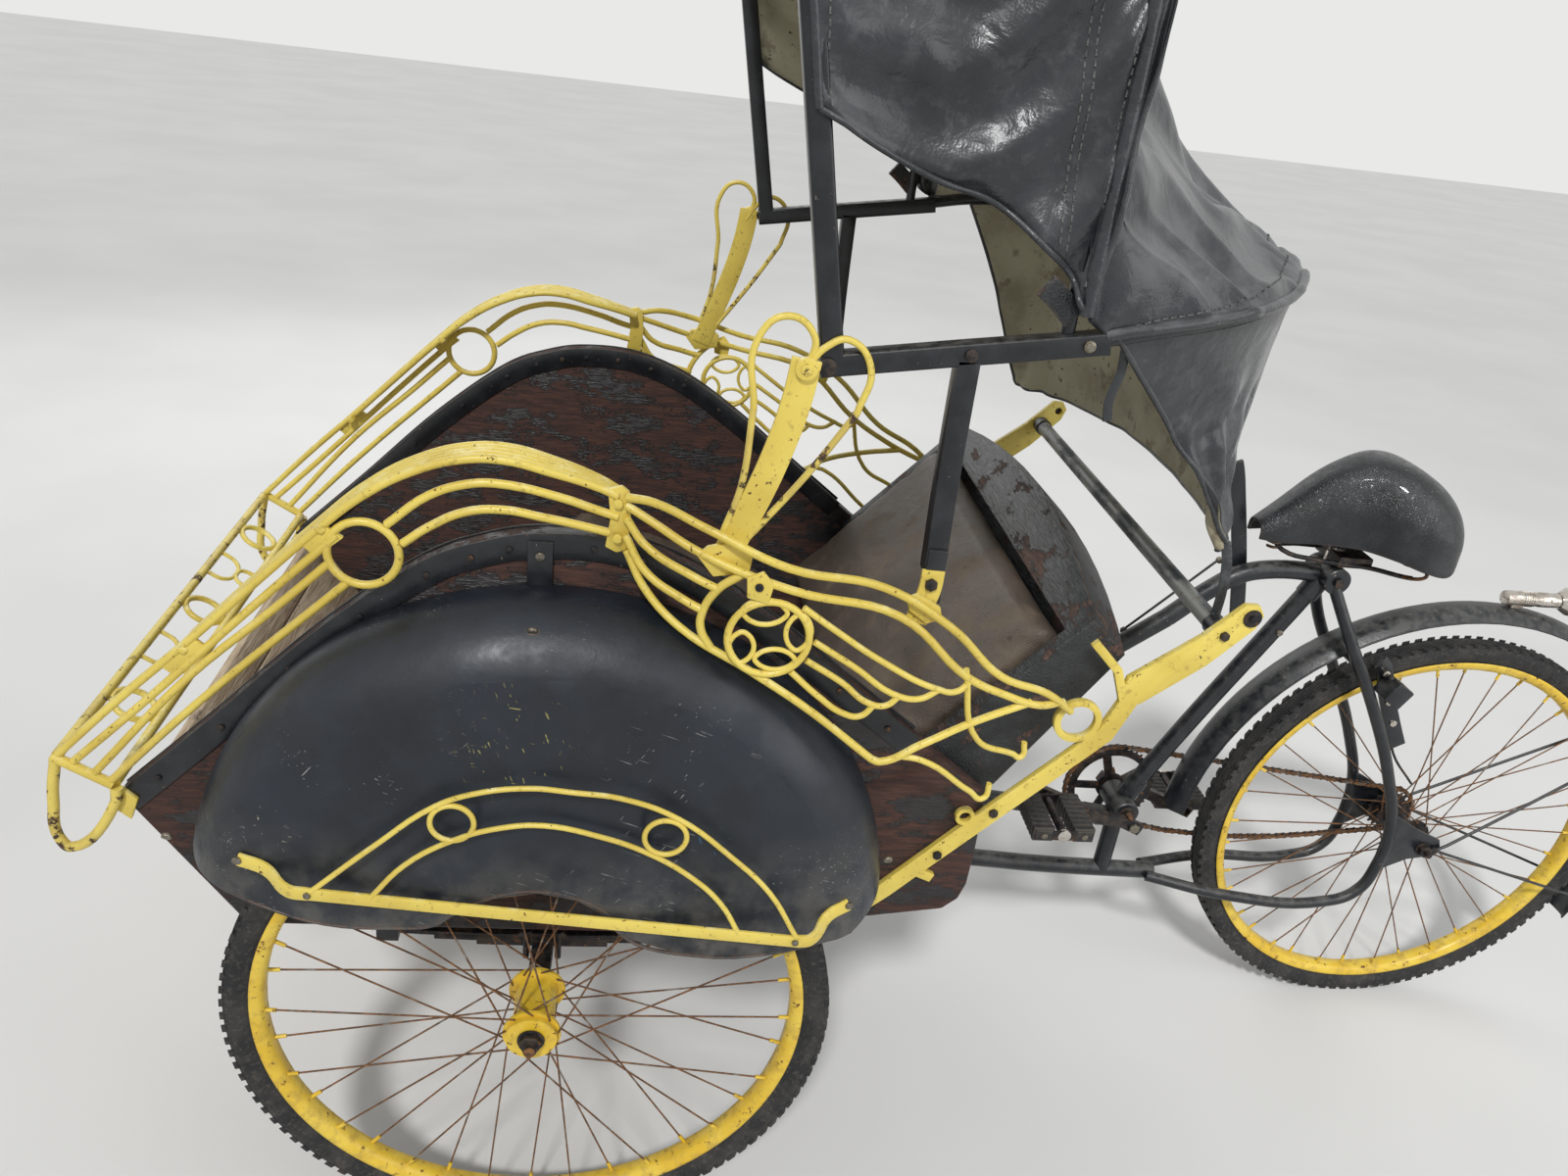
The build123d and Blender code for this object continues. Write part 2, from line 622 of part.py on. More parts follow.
def make_rear_member():
    """The member that ties the side panels together behind the seat, high enough to pass over the frame."""
    half = PANEL_IN - SEAT_GAP
    return block((REAR_MEMBER_X - CHASSIS / 2, REAR_MEMBER_X + CHASSIS / 2), (-half, half),
                 (REAR_MEMBER_Z, REAR_MEMBER_Z + CHASSIS))


def make_front_axle():
    z = TYRE_R
    inner = TRACK_HALF - HUB_HALF - 6
    beam = block((WHEELBASE - AXLE_BEAM / 2, WHEELBASE + AXLE_BEAM / 2), (-inner, inner),
                 (z - AXLE_BEAM / 2, z + AXLE_BEAM / 2))
    stub = disc(WHEELBASE, z, STUB_D / 2, -STUB_END, 2 * STUB_END)
    pieces = [beam, stub]
    nut_y = TRACK_HALF + HUB_HALF + 1
    for out in (1, -1):
        nut = Plane.XZ.offset(-out * nut_y) * (Pos(WHEELBASE, z) * RegularPolygon(NUT_D / 2, 6))
        pieces.append(extrude(nut, amount=-out * NUT_THICK))
    return joined(pieces)


def leaf_curve(half, sink):
    top = PANEL_LOW - CHASSIS - LEAF / 2 - 2 * SEAT_GAP
    mid = TYRE_R + AXLE_BEAM / 2 + SEAT_GAP + LEAVES * LEAF - LEAF / 2
    points = []
    for k in range(-3, 4):
        part = k / 3
        reach = half * part
        lift = (top - mid) * (reach / SPRING_HALF_LONG) ** 2
        points.append((WHEELBASE + reach, SPRING_Y, mid + lift - sink))
    return points


def make_leaf_springs():
    leaves = []
    for k in range(LEAVES):
        half = SPRING_HALF_LONG * (1 - 0.28 * k)
        leaves.append(flat_bar(leaf_curve(half, k * LEAF), LEAF, SPRING_WIDE))
    pack = joined(leaves)
    return both(pack)


def panel_outline():
    crest = smooth([(x, z, 0) for x, z in [
        (1858, 603), (1750, 708), (1636, 822), (1528, 910), (1459, 941), (1400, 953), (1321, 950),
        (1237, 920), (1147, 862), (1060, 795), (966, 724)]], 2)
    outline = [(x, z) for x, z, y in crest]
    return outline + [(870, 646), (868, 560), (869, 510), (876, 486), (894, 469), (940, 460),
                      (1200, PANEL_LOW), (TOE_FOOT_X, PANEL_LOW)]


def make_side_panel():
    return plate(panel_outline(), PANEL_IN, PANEL_THICK)


def make_floor_boards():
    half = PANEL_IN - SEAT_GAP
    slope = math.atan2(TOE_HEAD_Z - PANEL_LOW, TOE_HEAD_X - TOE_FOOT_X)
    toe_x = TOE_FOOT_X - 4
    down, across = BOARD * math.cos(slope), BOARD * math.sin(slope)
    toe = plate([(TOE_HEAD_X - 6, TOE_HEAD_Z - 9), (TOE_HEAD_X - 6 - across, TOE_HEAD_Z - 9 + down),
                 (toe_x - across, FLOOR_TOP - 14 + down), (toe_x, FLOOR_TOP - 14)], -half, 2 * half)
    floor = block((SEAT_FRONT_X, toe_x - across - 2), (-half, half), (FLOOR_TOP - BOARD, FLOOR_TOP))
    return Compound([toe, floor])


def seat_point(back, above):
    """A point in x and z, back along the seat board from its front edge and square above its face."""
    drop = math.radians(SEAT_DROP)
    return (SEAT_FRONT_X - BOARD - back * math.cos(drop) - above * math.sin(drop),
            SEAT_HIGH_Z - back * math.sin(drop) + above * math.cos(drop))


def make_seat_box():
    half = PANEL_IN - SEAT_GAP
    front = block((SEAT_FRONT_X - BOARD, SEAT_FRONT_X - SEAT_GAP), (-half, half), (FLOOR_TOP - BOARD, SEAT_HIGH_Z))
    long = (SEAT_FRONT_X - BOARD - SEAT_REAR_X) / math.cos(math.radians(SEAT_DROP))
    top = plate([seat_point(-4, 0), seat_point(long, 0), seat_point(long, -BOARD), seat_point(-4, -BOARD)],
                -half, 2 * half)
    return joined([front, top])


def back_point(along, behind):
    """A point in x and z, along the backrest from the side plates' foot, and behind its front."""
    lean = math.radians(BACK_LEAN)
    return (BACK_X + along * math.cos(lean) - behind * math.sin(lean),
            BACK_Z + along * math.sin(lean) + behind * math.cos(lean))


def make_seat_back():
    cheek = [back_point(-10, 14), back_point(BACK_TOP, 14), back_point(BACK_TOP, 79), back_point(17, 118),
             back_point(-60, 118), back_point(-80, 60)]
    cheeks = [plate(cheek, y, CHEEK_THICK) for y in (BACK_HALF - CHEEK_THICK, -BACK_HALF)]
    rear = plate([back_point(-60, 118), back_point(17, 118), back_point(BACK_TOP, 79),
                  back_point(BACK_TOP, 67), back_point(14, 106), back_point(-60, 106)],
                 1 - BACK_HALF, 2 * BACK_HALF - 2)
    lean = math.radians(BACK_LEAN)
    x, z = back_point(0, 14)
    sloped = Plane(origin=(x, 0, z), x_dir=(0, 1, 0), z_dir=(-math.sin(lean), 0, math.cos(lean)))
    rise = -1 if sloped.y_dir.Z < 0 else 1
    low, top, crown = rise * (BACK_TOP - 34), rise * BACK_TOP, rise * BACK_CROWN
    arch = make_face([Line((-BACK_HALF, low), (BACK_HALF, low)), Line((BACK_HALF, low), (BACK_HALF, top)),
                      ThreePointArc((BACK_HALF, top), (0, crown), (-BACK_HALF, top)),
                      Line((-BACK_HALF, top), (-BACK_HALF, low))])
    board = extrude(sloped * arch, amount=65)
    return joined(cheeks + [rear, board])


def make_seat_cushion():
    outline = [seat_point(-16, SEAT_GAP + CUSHION_THICK), seat_point(CUSHION_LONG - 16, SEAT_GAP + CUSHION_THICK),
               seat_point(CUSHION_LONG - 16, SEAT_GAP), seat_point(-16, SEAT_GAP)]
    cushion = plate(outline, -CUSHION_HALF, 2 * CUSHION_HALF)
    return fillet(cushion.edges().filter_by(Axis.Y), 22)


def make_back_cushion():
    half = BACK_HALF - CHEEK_THICK - SEAT_GAP
    outline = [back_point(-140, 0), back_point(BACK_TOP - 36, 0), back_point(BACK_TOP - 36, 50),
               back_point(-60, 62), back_point(-140, 50)]
    cushion = plate(outline, -half, 2 * half)
    return fillet(cushion.edges().filter_by(Axis.Y), 14)


# Fenders

def fender_profile(inset):
    """Points of (radius, y) from the rim to the middle: one arc round the shoulder, one over the crown."""
    rim, out, base = FENDER_R - inset, FENDER_OUT - inset, PANEL_OUT + SEAT_GAP
    return [(rim, base), (rim - 10, base + 60), (rim - 58, out - 31), (rim * 0.5, out - 7.5), (0, out)]


def fender_solid(inset):
    rim, bulge, shoulder, flank, crown = [(r, y, 0) for r, y in fender_profile(inset)]
    foot = (0, rim[1], 0)
    return revolve(make_face([Line(foot, rim), ThreePointArc(rim, bulge, shoulder),
                              ThreePointArc(shoulder, flank, crown), Line(crown, foot)]), Axis.Y)


def fender_face(x, z):
    """How far out the fender's skin stands at x and z."""
    r = math.hypot(x - FENDER_X, z - FENDER_Z)
    rim, bulge, shoulder, flank, crown = fender_profile(0)
    (x0, y0), (x1, y1), (x2, y2) = (shoulder, flank, crown) if r < shoulder[0] else (rim, bulge, shoulder)
    a, b, c, d = x1 - x0, y1 - y0, x2 - x0, y2 - y0
    e, f = (a * (x0 + x1) + b * (y0 + y1)) / 2, (c * (x0 + x2) + d * (y0 + y2)) / 2
    spread = a * d - b * c
    mid_r, mid_y = (d * e - b * f) / spread, (a * f - c * e) / spread
    return mid_y + math.sqrt(max(0.0, (x0 - mid_r) ** 2 + (y0 - mid_y) ** 2 - (r - mid_r) ** 2))


def make_fender():
    shell = Pos(FENDER_X, 0, FENDER_Z) * (fender_solid(0) - fender_solid(FENDER_WALL))
    shell -= disc(FENDER_X, FENDER_Z, FENDER_R - FENDER_WALL, PANEL_OUT - 1, FENDER_WALL + 2)
    skirt = [(1800, 620), (1776, 575), (1755, 562), (1721, 555), (1677, 541), (1613, 529), (1541, 533),
             (1496, 541), (1478, 556), (1435, 582), (1387, 592), (1345, 583), (1307, 558), (1297, 535),
             (1220, 503), (1110, 498), (1030, 511), (993, 537), (980, 600), (980, 960), (1800, 960)]
    return shell & plate(skirt, PANEL_OUT - 1, 150)


def make_fender_trim():
    y = TRIM_Y + TRIM_ROD / 2
    pieces = [flat_bar([(1630, y, 589), (1096, y, 538)], 14, 4)]
    arches = [
        [(1620, 590), (1550, 656), (1492, 706), (1455, 723), (1398, 733), (1354, 730), (1302, 724),
         (1246, 702), (1186, 654), (1140, 607), (1104, 546)],
        [(1560, 584), (1522, 631), (1474, 664), (1426, 682), (1383, 687), (1328, 676), (1277, 657),
         (1224, 623), (1191, 589), (1168, 548)]]
    for keys in arches:
        pieces.append(rod(smooth([(x, y, z) for x, z in keys], 2), TRIM_ROD, 4))
    for x, z in ((1475, 686), (1257, 677)):
        pieces.append(flat_ring(x, z, 25, 5, y, TRIM_ROD))
    for (x0, z0), (x1, z1), (x2, z2) in (((1622, 588), (1642, 590), (1700, 604)),
                                         ((1104, 539), (1086, 540), (1040, 560))):
        step, face = fender_face((x1 + x2) / 2, (z1 + z2) / 2), fender_face(x2, z2)
        lift = 2 + SEAT_GAP + 2.5
        pieces.append(flat_bar([(x0, y, z0), (x1, y - 2, z1), ((x1 + x2) / 2, step + lift, (z1 + z2) / 2),
                                (x2, face + lift, z2)], 14, 4))
    return joined(pieces)


# Side ironwork

# Distance between neighbouring rods of the band at x: they lie side by side on the arch and gather at both ends
BAND_SPREAD = [(1327, 4.5), (1380, 8.5), (1420, 9.5), (1560, 9.5), (1660, 7.5), (1759, 4.0), (1908, 4.5)]


def make_rail():
    band = [(1327, 1006), (1345, 1013), (1395, 1026), (1440, 1035), (1480, 1033), (1530, 1016), (1580, 985),
            (1635, 935), (1690, 880), (1759, 810), (1838, 733), (1908, 660)]
    pieces = []
    for k in range(BAND_RODS):
        keys = band if k < 2 else band[:-2]
        pieces.append(rod([(x, side(x) - k * between(BAND_SPREAD, x), z) for x, z in keys], ROD))
    return pieces


def make_arch():
    pieces = make_rail()
    runs = [
        [(1894, 651), (1820, 724), (1670, 877), (1604, 942)],
        [(1877, 634), (1764, 766), (1671, 854), (1614, 910)],
        [(1861, 625), (1759, 733), (1597, 889)],
        [(1556, 957), (1514, 992), (1477, 1007), (1448, 1010), (1385, 1000), (1347, 989), (1326, 984)],
        [(1541, 937), (1514, 958), (1478, 977), (1440, 982), (1403, 977), (1365, 971), (1334, 965)]]
    for keys in runs:
        pieces.append(rod(side_curve(keys, 1), ROD))
    pieces.append(flat_ring(1580, 923, 40, 8, side(1580), 8))
    for outline in ([(1790, 778), (1754, 814), (1742, 804), (1778, 768)],
                    [(1640, 930), (1616, 952), (1598, 940), (1626, 916)],
                    [(JUNCTION_X + 22, 1014), (JUNCTION_X, 1012), (JUNCTION_X, 948), (JUNCTION_X + 22, 950)]):
        pieces.append(plate(outline, side(outline[0][0]) - 3, 6))
    y = BUMPER_HALF
    foot = [(1846, 572), (1866, 590), (1864, 612), (1850, 614), (1836, 600)]
    pieces.append(plate(foot, PANEL_OUT + SEAT_GAP, y - flat_radius(BUMPER_D, BAR_SIDES) + 1 - PANEL_OUT))
    pieces.append(rod([(BUMPER_HIGH_X + 3, y, BUMPER_HIGH_Z + 2), (BUMPER_LOW_X, y, BUMPER_LOW_Z)], BUMPER_D))
    pieces.append(rod(smooth([(BUMPER_HIGH_X, y, BUMPER_HIGH_Z), (1922, y, 600), (1921, y, 541), (1912, y, 534),
                              (1857, y, 600), (1854, y, 618)], 2), BUMPER_D))
    return joined(pieces)


def lens(x, z, rx, rz, y):
    """A petal bent from bar: a ring of two bowed sides."""
    long_way = rx >= rz
    keys = []
    for k in range(8):
        turn = 2 * math.pi * k / 8
        c, s = math.cos(turn), math.sin(turn)
        if long_way:
            keys.append((x + rx * c, y, z + rz * math.copysign(abs(s) ** 1.3, s)))
        else:
            keys.append((x + rx * math.copysign(abs(c) ** 1.3, c), y, z + rz * s))
    return rod(keys, THIN_ROD - 2, 4, closed=True)


def make_armrest():
    strands = [
        [(1322, 1008), (1292, 1010), (1237, 997), (1154, 970), (1056, 954), (979, 912), (905, 844), (840, 813), (798, 778)],
        [(1322, 999), (1292, 989), (1242, 970), (1149, 946), (1035, 922), (947, 848), (892, 818), (850, 801), (812, 793)],
        [(1322, 985), (1298, 962), (1247, 942), (1222, 934)],
        [(1322, 966), (1296, 933), (1254, 913), (1232, 906)],
        [(1318, 950), (1295, 913), (1257, 881), (1181, 847), (1118, 808), (1038, 745)],
        [(1038, 745), (1028, 742), (986, 765), (931, 787), (860, 806)],
        [(1200, 955), (1222, 934), (1236, 902), (1235, 884), (1224, 866)]]
    pieces = [rod(side_curve(keys, 1 if len(keys) > 6 else 2), ROD) for keys in strands]
    hoops = [
        [(1135, 927), (1097, 901), (1045, 868), (981, 837), (955, 831), (941, 843)],
        [(1119, 888), (1075, 861), (1020, 826), (996, 824), (978, 835)],
        [(1125, 866), (1083, 840), (1053, 817), (1033, 814), (1020, 826)],
        [(1140, 852), (1107, 823), (1078, 803), (1059, 800), (1045, 815)]]
    for keys in hoops:
        pieces.append(rod(side_curve(keys, 2), THIN_ROD))
    y = side(1167)
    pieces.append(flat_ring(1167, 889, 46, 8, y, 8))
    for x, z, rx, rz in ((1174, 919, 23, 14), (1137, 898, 13, 21), (1158, 865, 21, 12), (1194, 877, 13, 18)):
        pieces.append(lens(x, z, rx, rz, y))
    for keys in ([(950, 858), (918, 764), (868, 738), (856, 732), (856, 752)],
                 [(1010, 750), (982, 745), (913, 693), (893, 680), (889, 700)]):
        pieces.append(rod(side_curve(keys, 2), THIN_ROD))
    pieces.append(flat_bar([(1014, side(1014) - 3, 912), (1010, side(1014) - 5, 938), (1002, HOOD_FACE + 0.4, 962),
                            (1002, HOOD_FACE + 0.4, 992)], 24, HOOD_BRACKET))
    return joined(pieces + make_tulip()) - block((JUNCTION_X - SEAT_GAP, 1400), (300, 500), (900, 1100))


def make_tulip():
    """The flat leaf that carries the hood frame, between two bent loops."""
    y = HOOD_FACE
    foot_y = side(1215) - ROD / 2 + 1
    pieces = []
    leaf = flat_bar(smooth([(1220, foot_y, 958), (1206, foot_y, 998), (1192, y, 1036), (1178, y, 1080), (1166, y, 1130), (1160, y, 1172)],
                           2), 28, 5)
    pieces.append(leaf)
    loops = [
        [(1222, 994), (1209, 1045), (1205, 1124), (1208, 1190), (1184, 1214), (1156, 1198), (1158, 1168)],
        [(1164, 1160), (1142, 1190), (1123, 1197), (1099, 1172), (1106, 1127), (1146, 1062), (1196, 990)]]
    for keys in loops:
        keys = [(x, foot_y if z < 1000 else y, z) for x, z in keys]
        pieces.append(rod(smooth(keys, 2), THIN_ROD, 4))
    return pieces


def make_lug_bar():
    y = LUG_Y
    bar = flat_bar([(1010, y, 470), (974, y, 504), (877, y, 609), (747, y, 745), (722, y, 812)], 22, LUG_THICK)
    lug = plate([(742, 800), (716, 790), (650, 846), (606, 896), (600, 914), (608, 926), (624, 926),
                 (664, 884), (738, 824)], y - LUG_THICK / 2, LUG_THICK)
    ring = flat_ring(784, 762, 28.5, 8, y, LUG_THICK)
    small = flat_ring(893, 619, 12, 5, y, LUG_THICK)
    brace = flat_bar([(735, y, 790), (752, y, 832), (787, y, 866)], 10, LUG_THICK)
    tab = flat_bar([(946, y, 536), (918, y, 524)], 12, LUG_THICK)
    piece = joined([bar, lug, ring, small, brace, tab])
    return piece - disc(613, 910, LUG_HOLE_D / 2, y - 20, 40)


def make_push_bar():
    inner = LUG_Y - LUG_THICK / 2 - SEAT_GAP
    return disc(PUSH_X, PUSH_Z, PUSH_D / 2, -inner, 2 * inner)


def make_bumper():
    half = BUMPER_HALF - flat_radius(BUMPER_D, BAR_SIDES) - SEAT_GAP
    high = rod([(BUMPER_HIGH_X, -half, BUMPER_HIGH_Z), (BUMPER_HIGH_X, half, BUMPER_HIGH_Z)], BUMPER_D)
    low = rod([(BUMPER_LOW_X, -half, BUMPER_LOW_Z), (BUMPER_LOW_X, half, BUMPER_LOW_Z)], BUMPER_D)
    mid_x = (BUMPER_HIGH_X + BUMPER_LOW_X) / 2
    mid_z = (BUMPER_HIGH_Z + BUMPER_LOW_Z) / 2
    lean = math.degrees(math.atan2(BUMPER_HIGH_Z - BUMPER_LOW_Z, BUMPER_HIGH_X - BUMPER_LOW_X))
    pieces = [high, low]
    for y in (-240, 0, 240):
        ring = Pos(mid_x, y, mid_z) * Rot(0, -lean, 0) * (Cylinder(29, 8) - Cylinder(21, 10))
        pieces.append(ring)
    return joined(pieces)


# Hood

def quarter(steps=6):
    """Sine and cosine pairs from the foot of a bow to its crown."""
    return [(math.cos(math.pi / 2 * k / steps), math.sin(math.pi / 2 * k / steps)) for k in range(steps + 1)]


def bow(foot_x, foot_z, crown_x, out):
    """Half of a bow from its foot at the left to the crown, held out from the tube's centre line by out."""
    crown_z = HOOD_CROWN + out
    points = [(foot_x, HOOD_Y + out, foot_z)]
    for across, rise in quarter():
        z = HOOD_SPRING_Z + (crown_z - HOOD_SPRING_Z) * rise ** 0.85
        x = foot_x + (crown_x - foot_x) * (z - foot_z) / (crown_z - foot_z)
        points.append((x, (HOOD_Y + out) * across ** 0.85, z))
    return points


def front_bow(out, foot_z=1175.0):
    return bow(1135 + (foot_z - 1175) * 0.19, foot_z, 1252, out)


def main_bow(out, foot_z=1211.0):
    return bow(912, foot_z, 915, out)


def rear_hoop(out):
    """Half of the hoop, from its end at the left to the middle of the back."""
    points = [(878, HOOD_Y + out, 1215)]
    for across, back in quarter(7)[1:]:
        points.append((878 - (428 + out) * back, (HOOD_Y + out) * across, 1215 + 28 * min(1, 2 * back)))
    return points


def across_both(half):
    """A half curve from the left foot to the middle, carried on to the right foot."""
    return half + [(x, -y, z) for x, y, z in reversed(half[:-1])]


def make_hood_frame():
    y = HOOD_Y
    section = flat_section(HOOD_TUBE, HOOD_TUBE)
    pieces = [mitred(across_both(front_bow(0)), section)]
    for out in (1, -1):
        pieces.append(mitred([(1140, out * y, 1169), (1005, out * y, 1194), (878, out * y, 1215)], section))
        pieces.append(mitred([(1005, out * y, 1194), (1004, out * y, 1076), (998, out * y, 960)], section))
    hoop = rod(across_both(rear_hoop(0)), BOW_D)
    main = rod(across_both(main_bow(0)), BOW_D)
    return joined(pieces + [hoop, main])


def make_hood_cloth():
    """The cover over the bows, which hollows between the main bow and the hoop behind it."""
    out = HOOD_TUBE / 2 + CLOTH + 3
    front = front_bow(out, 1392)
    main = [(x - 10, y, z) for x, y, z in main_bow(out, 1262)]
    middle = []
    for k, (a, b) in enumerate(zip(front, main)):
        sag = 18 * (k / 7) ** 2
        middle.append(((a[0] + b[0]) / 2, a[1], (a[2] + b[2]) / 2 - sag))
    hoop = [(x, y, z + BOW_D / 2 + CLOTH) for x, y, z in rear_hoop(out)]
    rows = [front, middle, main]
    for share, pull, fall in ((0.5, 78, 0), (0.8, 137, 0), (0.93, 77, 7)):
        row = []
        for k, (a, b) in enumerate(zip(main, hoop)):
            ease = math.sin(math.pi / 2 * k / 7)
            row.append((a[0] + (b[0] - a[0]) * share + pull * ease, a[1] + (b[1] - a[1]) * share,
                        a[2] + (b[2] - a[2]) * share - fall * ease))
        rows.append(row)
    rows.append(hoop)
    return sheet([across_both(row) for row in rows], -CLOTH)


def make_rear_curtain():
    """The curtain that hangs from the hoop, its near corner drawn forward to the push bar."""
    out = flat_radius(BOW_D, BAR_SIDES) + CLOTH + 3 * SEAT_GAP
    top = [(x, y, z + 4) for x, y, z in across_both(rear_hoop(out))]
    top[0] = (top[0][0] - 8, top[0][1], top[0][2])
    top[-1] = (top[-1][0] - 8, top[-1][1], top[-1][2])
    count = len(top)
    hem = []
    for k, (x, y, z) in enumerate(top):
        share = k / (count - 1)
        hem.append((x + 30 * math.sin(math.pi * share), y * 0.94, 946))
    hem[0] = (648, 356, 985)
    hem[1] = (622, 352, 960)
    hem[2] = (580, 330, 950)
    hem[-1] = (675, -380, 943)
    hem[-2] = (640, -370, 945)
    bend = [(x, y, z - 18) for x, y, z in top]
    rows = [top, bend]
    for share in (0.35, 0.7, 1.0):
        rows.append([tuple(a + (b - a) * share for a, b in zip(p, q)) for p, q in zip(bend, hem)])
    return sheet(rows, -CLOTH)


# Export

rear = [
    ("main_frame", make_main_frame()),
    ("rear_axle", make_rear_axle()),
    ("mudguard", make_mudguard()),
    ("saddle", make_saddle()),
    ("saddle_springs", make_saddle_springs()),
    ("chain", make_chain()),
    ("tail_lamp", make_tail_lamp()),
    ("crank_arms", make_crank_arms()),
    ("chainring", make_chainring()),
    ("left_pedal", make_pedal(1)),
    ("right_pedal", make_pedal(-1)),
    ("rear_tyre", make_tyre(0, 0)),
    ("rear_rim", make_rim(0, 0, 6 - REAR_HUB_HALF, REAR_HUB_HALF - 6, REAR_FLANGE_R - 3)),
    ("rear_hub", make_rear_hub())]

cabin = [
    ("kingpin", make_kingpin()),
    ("underframe", make_underframe()),
    ("rear_member", make_rear_member()),
    ("front_axle", make_front_axle()),
    ("leaf_springs", make_leaf_springs()),
    ("floor_boards", make_floor_boards()),
    ("seat_box", make_seat_box()),
    ("seat_back", make_seat_back()),
    ("seat_cushion", make_seat_cushion()),
    ("back_cushion", make_back_cushion()),
    ("bumper", make_bumper()),
    ("push_bar", make_push_bar()),
    ("hood_frame", make_hood_frame()),
    ("hood_cloth", make_hood_cloth()),
    ("rear_curtain", make_rear_curtain())]

sides = [
    ("tyre", make_tyre(WHEELBASE, TRACK_HALF)),
    ("rim", make_rim(WHEELBASE, TRACK_HALF, 10 - HUB_HALF, HUB_HALF - 10, HUB_FLANGE_R - 3)),
    ("hub", make_front_hub(WHEELBASE, TRACK_HALF)),
    ("side_panel", make_side_panel()),
    ("fender", make_fender()),
    ("fender_trim", make_fender_trim()),
    ("arch", make_arch()),
    ("armrest", make_armrest()),
    ("lug_bar", make_lug_bar())]

pieces = dict(rear + cabin)
for name, piece in sides:
    pieces["left_" + name] = piece
    pieces["right_" + name] = right_of(piece)

ends = [piece.bounding_box() for piece in pieces.values()]
MIDDLE_X = (min(end.min.X for end in ends) + max(end.max.X for end in ends)) / 2
for name, piece in pieces.items():
    export_step(Pos(-MIDDLE_X, 0, 0) * piece, "parts/" + name + ".step")
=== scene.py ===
"""Looks of the cycle rickshaw: finishes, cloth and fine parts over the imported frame."""
import math

import bpy
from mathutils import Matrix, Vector, noise
from mathutils.bvhtree import BVHTree
from mathutils.kdtree import KDTree


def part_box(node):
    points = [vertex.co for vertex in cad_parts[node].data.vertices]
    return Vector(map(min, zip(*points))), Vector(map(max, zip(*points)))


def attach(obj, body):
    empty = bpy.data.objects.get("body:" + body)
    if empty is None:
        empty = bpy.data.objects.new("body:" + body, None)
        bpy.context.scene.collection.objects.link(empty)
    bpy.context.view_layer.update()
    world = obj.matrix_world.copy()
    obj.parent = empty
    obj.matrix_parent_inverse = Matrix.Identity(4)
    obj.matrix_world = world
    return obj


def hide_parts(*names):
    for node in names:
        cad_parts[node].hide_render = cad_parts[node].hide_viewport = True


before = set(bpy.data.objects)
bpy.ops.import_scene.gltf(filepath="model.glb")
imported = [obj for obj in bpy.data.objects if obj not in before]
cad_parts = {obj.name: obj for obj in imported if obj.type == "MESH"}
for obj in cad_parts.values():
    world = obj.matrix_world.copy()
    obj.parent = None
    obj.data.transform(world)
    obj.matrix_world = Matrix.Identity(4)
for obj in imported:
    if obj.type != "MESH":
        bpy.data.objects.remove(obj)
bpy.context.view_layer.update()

# The drawing's zero: the rear axle, on the ground under it
REAR_AXLE = (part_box("rear_tyre")[0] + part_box("rear_tyre")[1]) / 2


def at(x, y, z):
    """A place given in millimetres from the rear axle's foot, as the part is drawn."""
    return Vector((REAR_AXLE.x + x / 1000, y / 1000, z / 1000))


# Camera
PICTURE_WIDE = 1600
FOCAL_PIXELS = 1203.93
camera_data = bpy.data.cameras.new("camera")
camera_data.sensor_width = 36
camera_data.lens = 36 * FOCAL_PIXELS / PICTURE_WIDE
camera = bpy.data.objects.new("camera", camera_data)
bpy.context.scene.collection.objects.link(camera)
camera.location = at(1311.3, 1493.2, 1465.8)
camera.rotation_euler = [math.radians(turn) for turn in (63.749, -6.504, 174.861)]
bpy.context.scene.camera = camera

# Sizes of the drawing, in millimetres
AXLE_Z = 355.5
WHEELBASE = 1392.0
TRACK_HALF = 434.0
RIM_EDGE_R = 323.5
TYRE_R = 355.5
BRACKET_X = 505.0
BRACKET_Z = 380.0
CHAIN_Y = -45.0
CHAINRING_TEETH = 44
CRANK_LONG = 185.0
CRANK_TURN = math.radians(24)
GUARD_X = 12.0
GUARD_Z = 359.5
HOOD_Y = 410.0


# Materials

def linear(code):
    """A colour written as sRGB hex, as the shader wants it."""
    parts = [int(code[k:k + 2], 16) / 255 for k in (1, 3, 5)]
    return tuple(c / 12.92 if c <= 0.04045 else ((c + 0.055) / 1.055) ** 2.4 for c in parts) + (1.0,)


def add(tree, kind, sockets, **settings):
    """One node with its settings, and its sockets set or linked. Gives its first output."""
    node = tree.nodes.new(kind)
    for name, value in settings.items():
        setattr(node, name, value)
    for name, value in sockets.items():
        if isinstance(value, bpy.types.NodeSocket):
            tree.links.new(value, node.inputs[name])
        else:
            node.inputs[name].default_value = value
    return node.outputs[0]


def per(size_mm):
    """Scale of a noise whose spots are this size, in Object coordinates of one metre."""
    return 1000 / size_mm


def material(name):
    """A new material, with its tree, its shader and its Object coordinates."""
    made = bpy.data.materials.new(name)
    made.use_nodes = True
    tree = made.node_tree
    place = tree.nodes.new("ShaderNodeTexCoord").outputs["Object"]
    return made, tree, tree.nodes["Principled BSDF"], place


def spots(tree, place, size_mm, low, high, detail=4.0, rough=0.6, stretch=(1, 1, 1)):
    """A mask of patches of a size: 0 below low and 1 above high."""
    if stretch != (1, 1, 1):
        place = add(tree, "ShaderNodeMapping", {"Vector": place, "Scale": stretch})
    field = add(tree, "ShaderNodeTexNoise",
                {"Vector": place, "Scale": per(size_mm), "Detail": detail, "Roughness": rough})
    return add(tree, "ShaderNodeMapRange", {"Value": field, "From Min": low, "From Max": high},
               interpolation_type="SMOOTHSTEP")


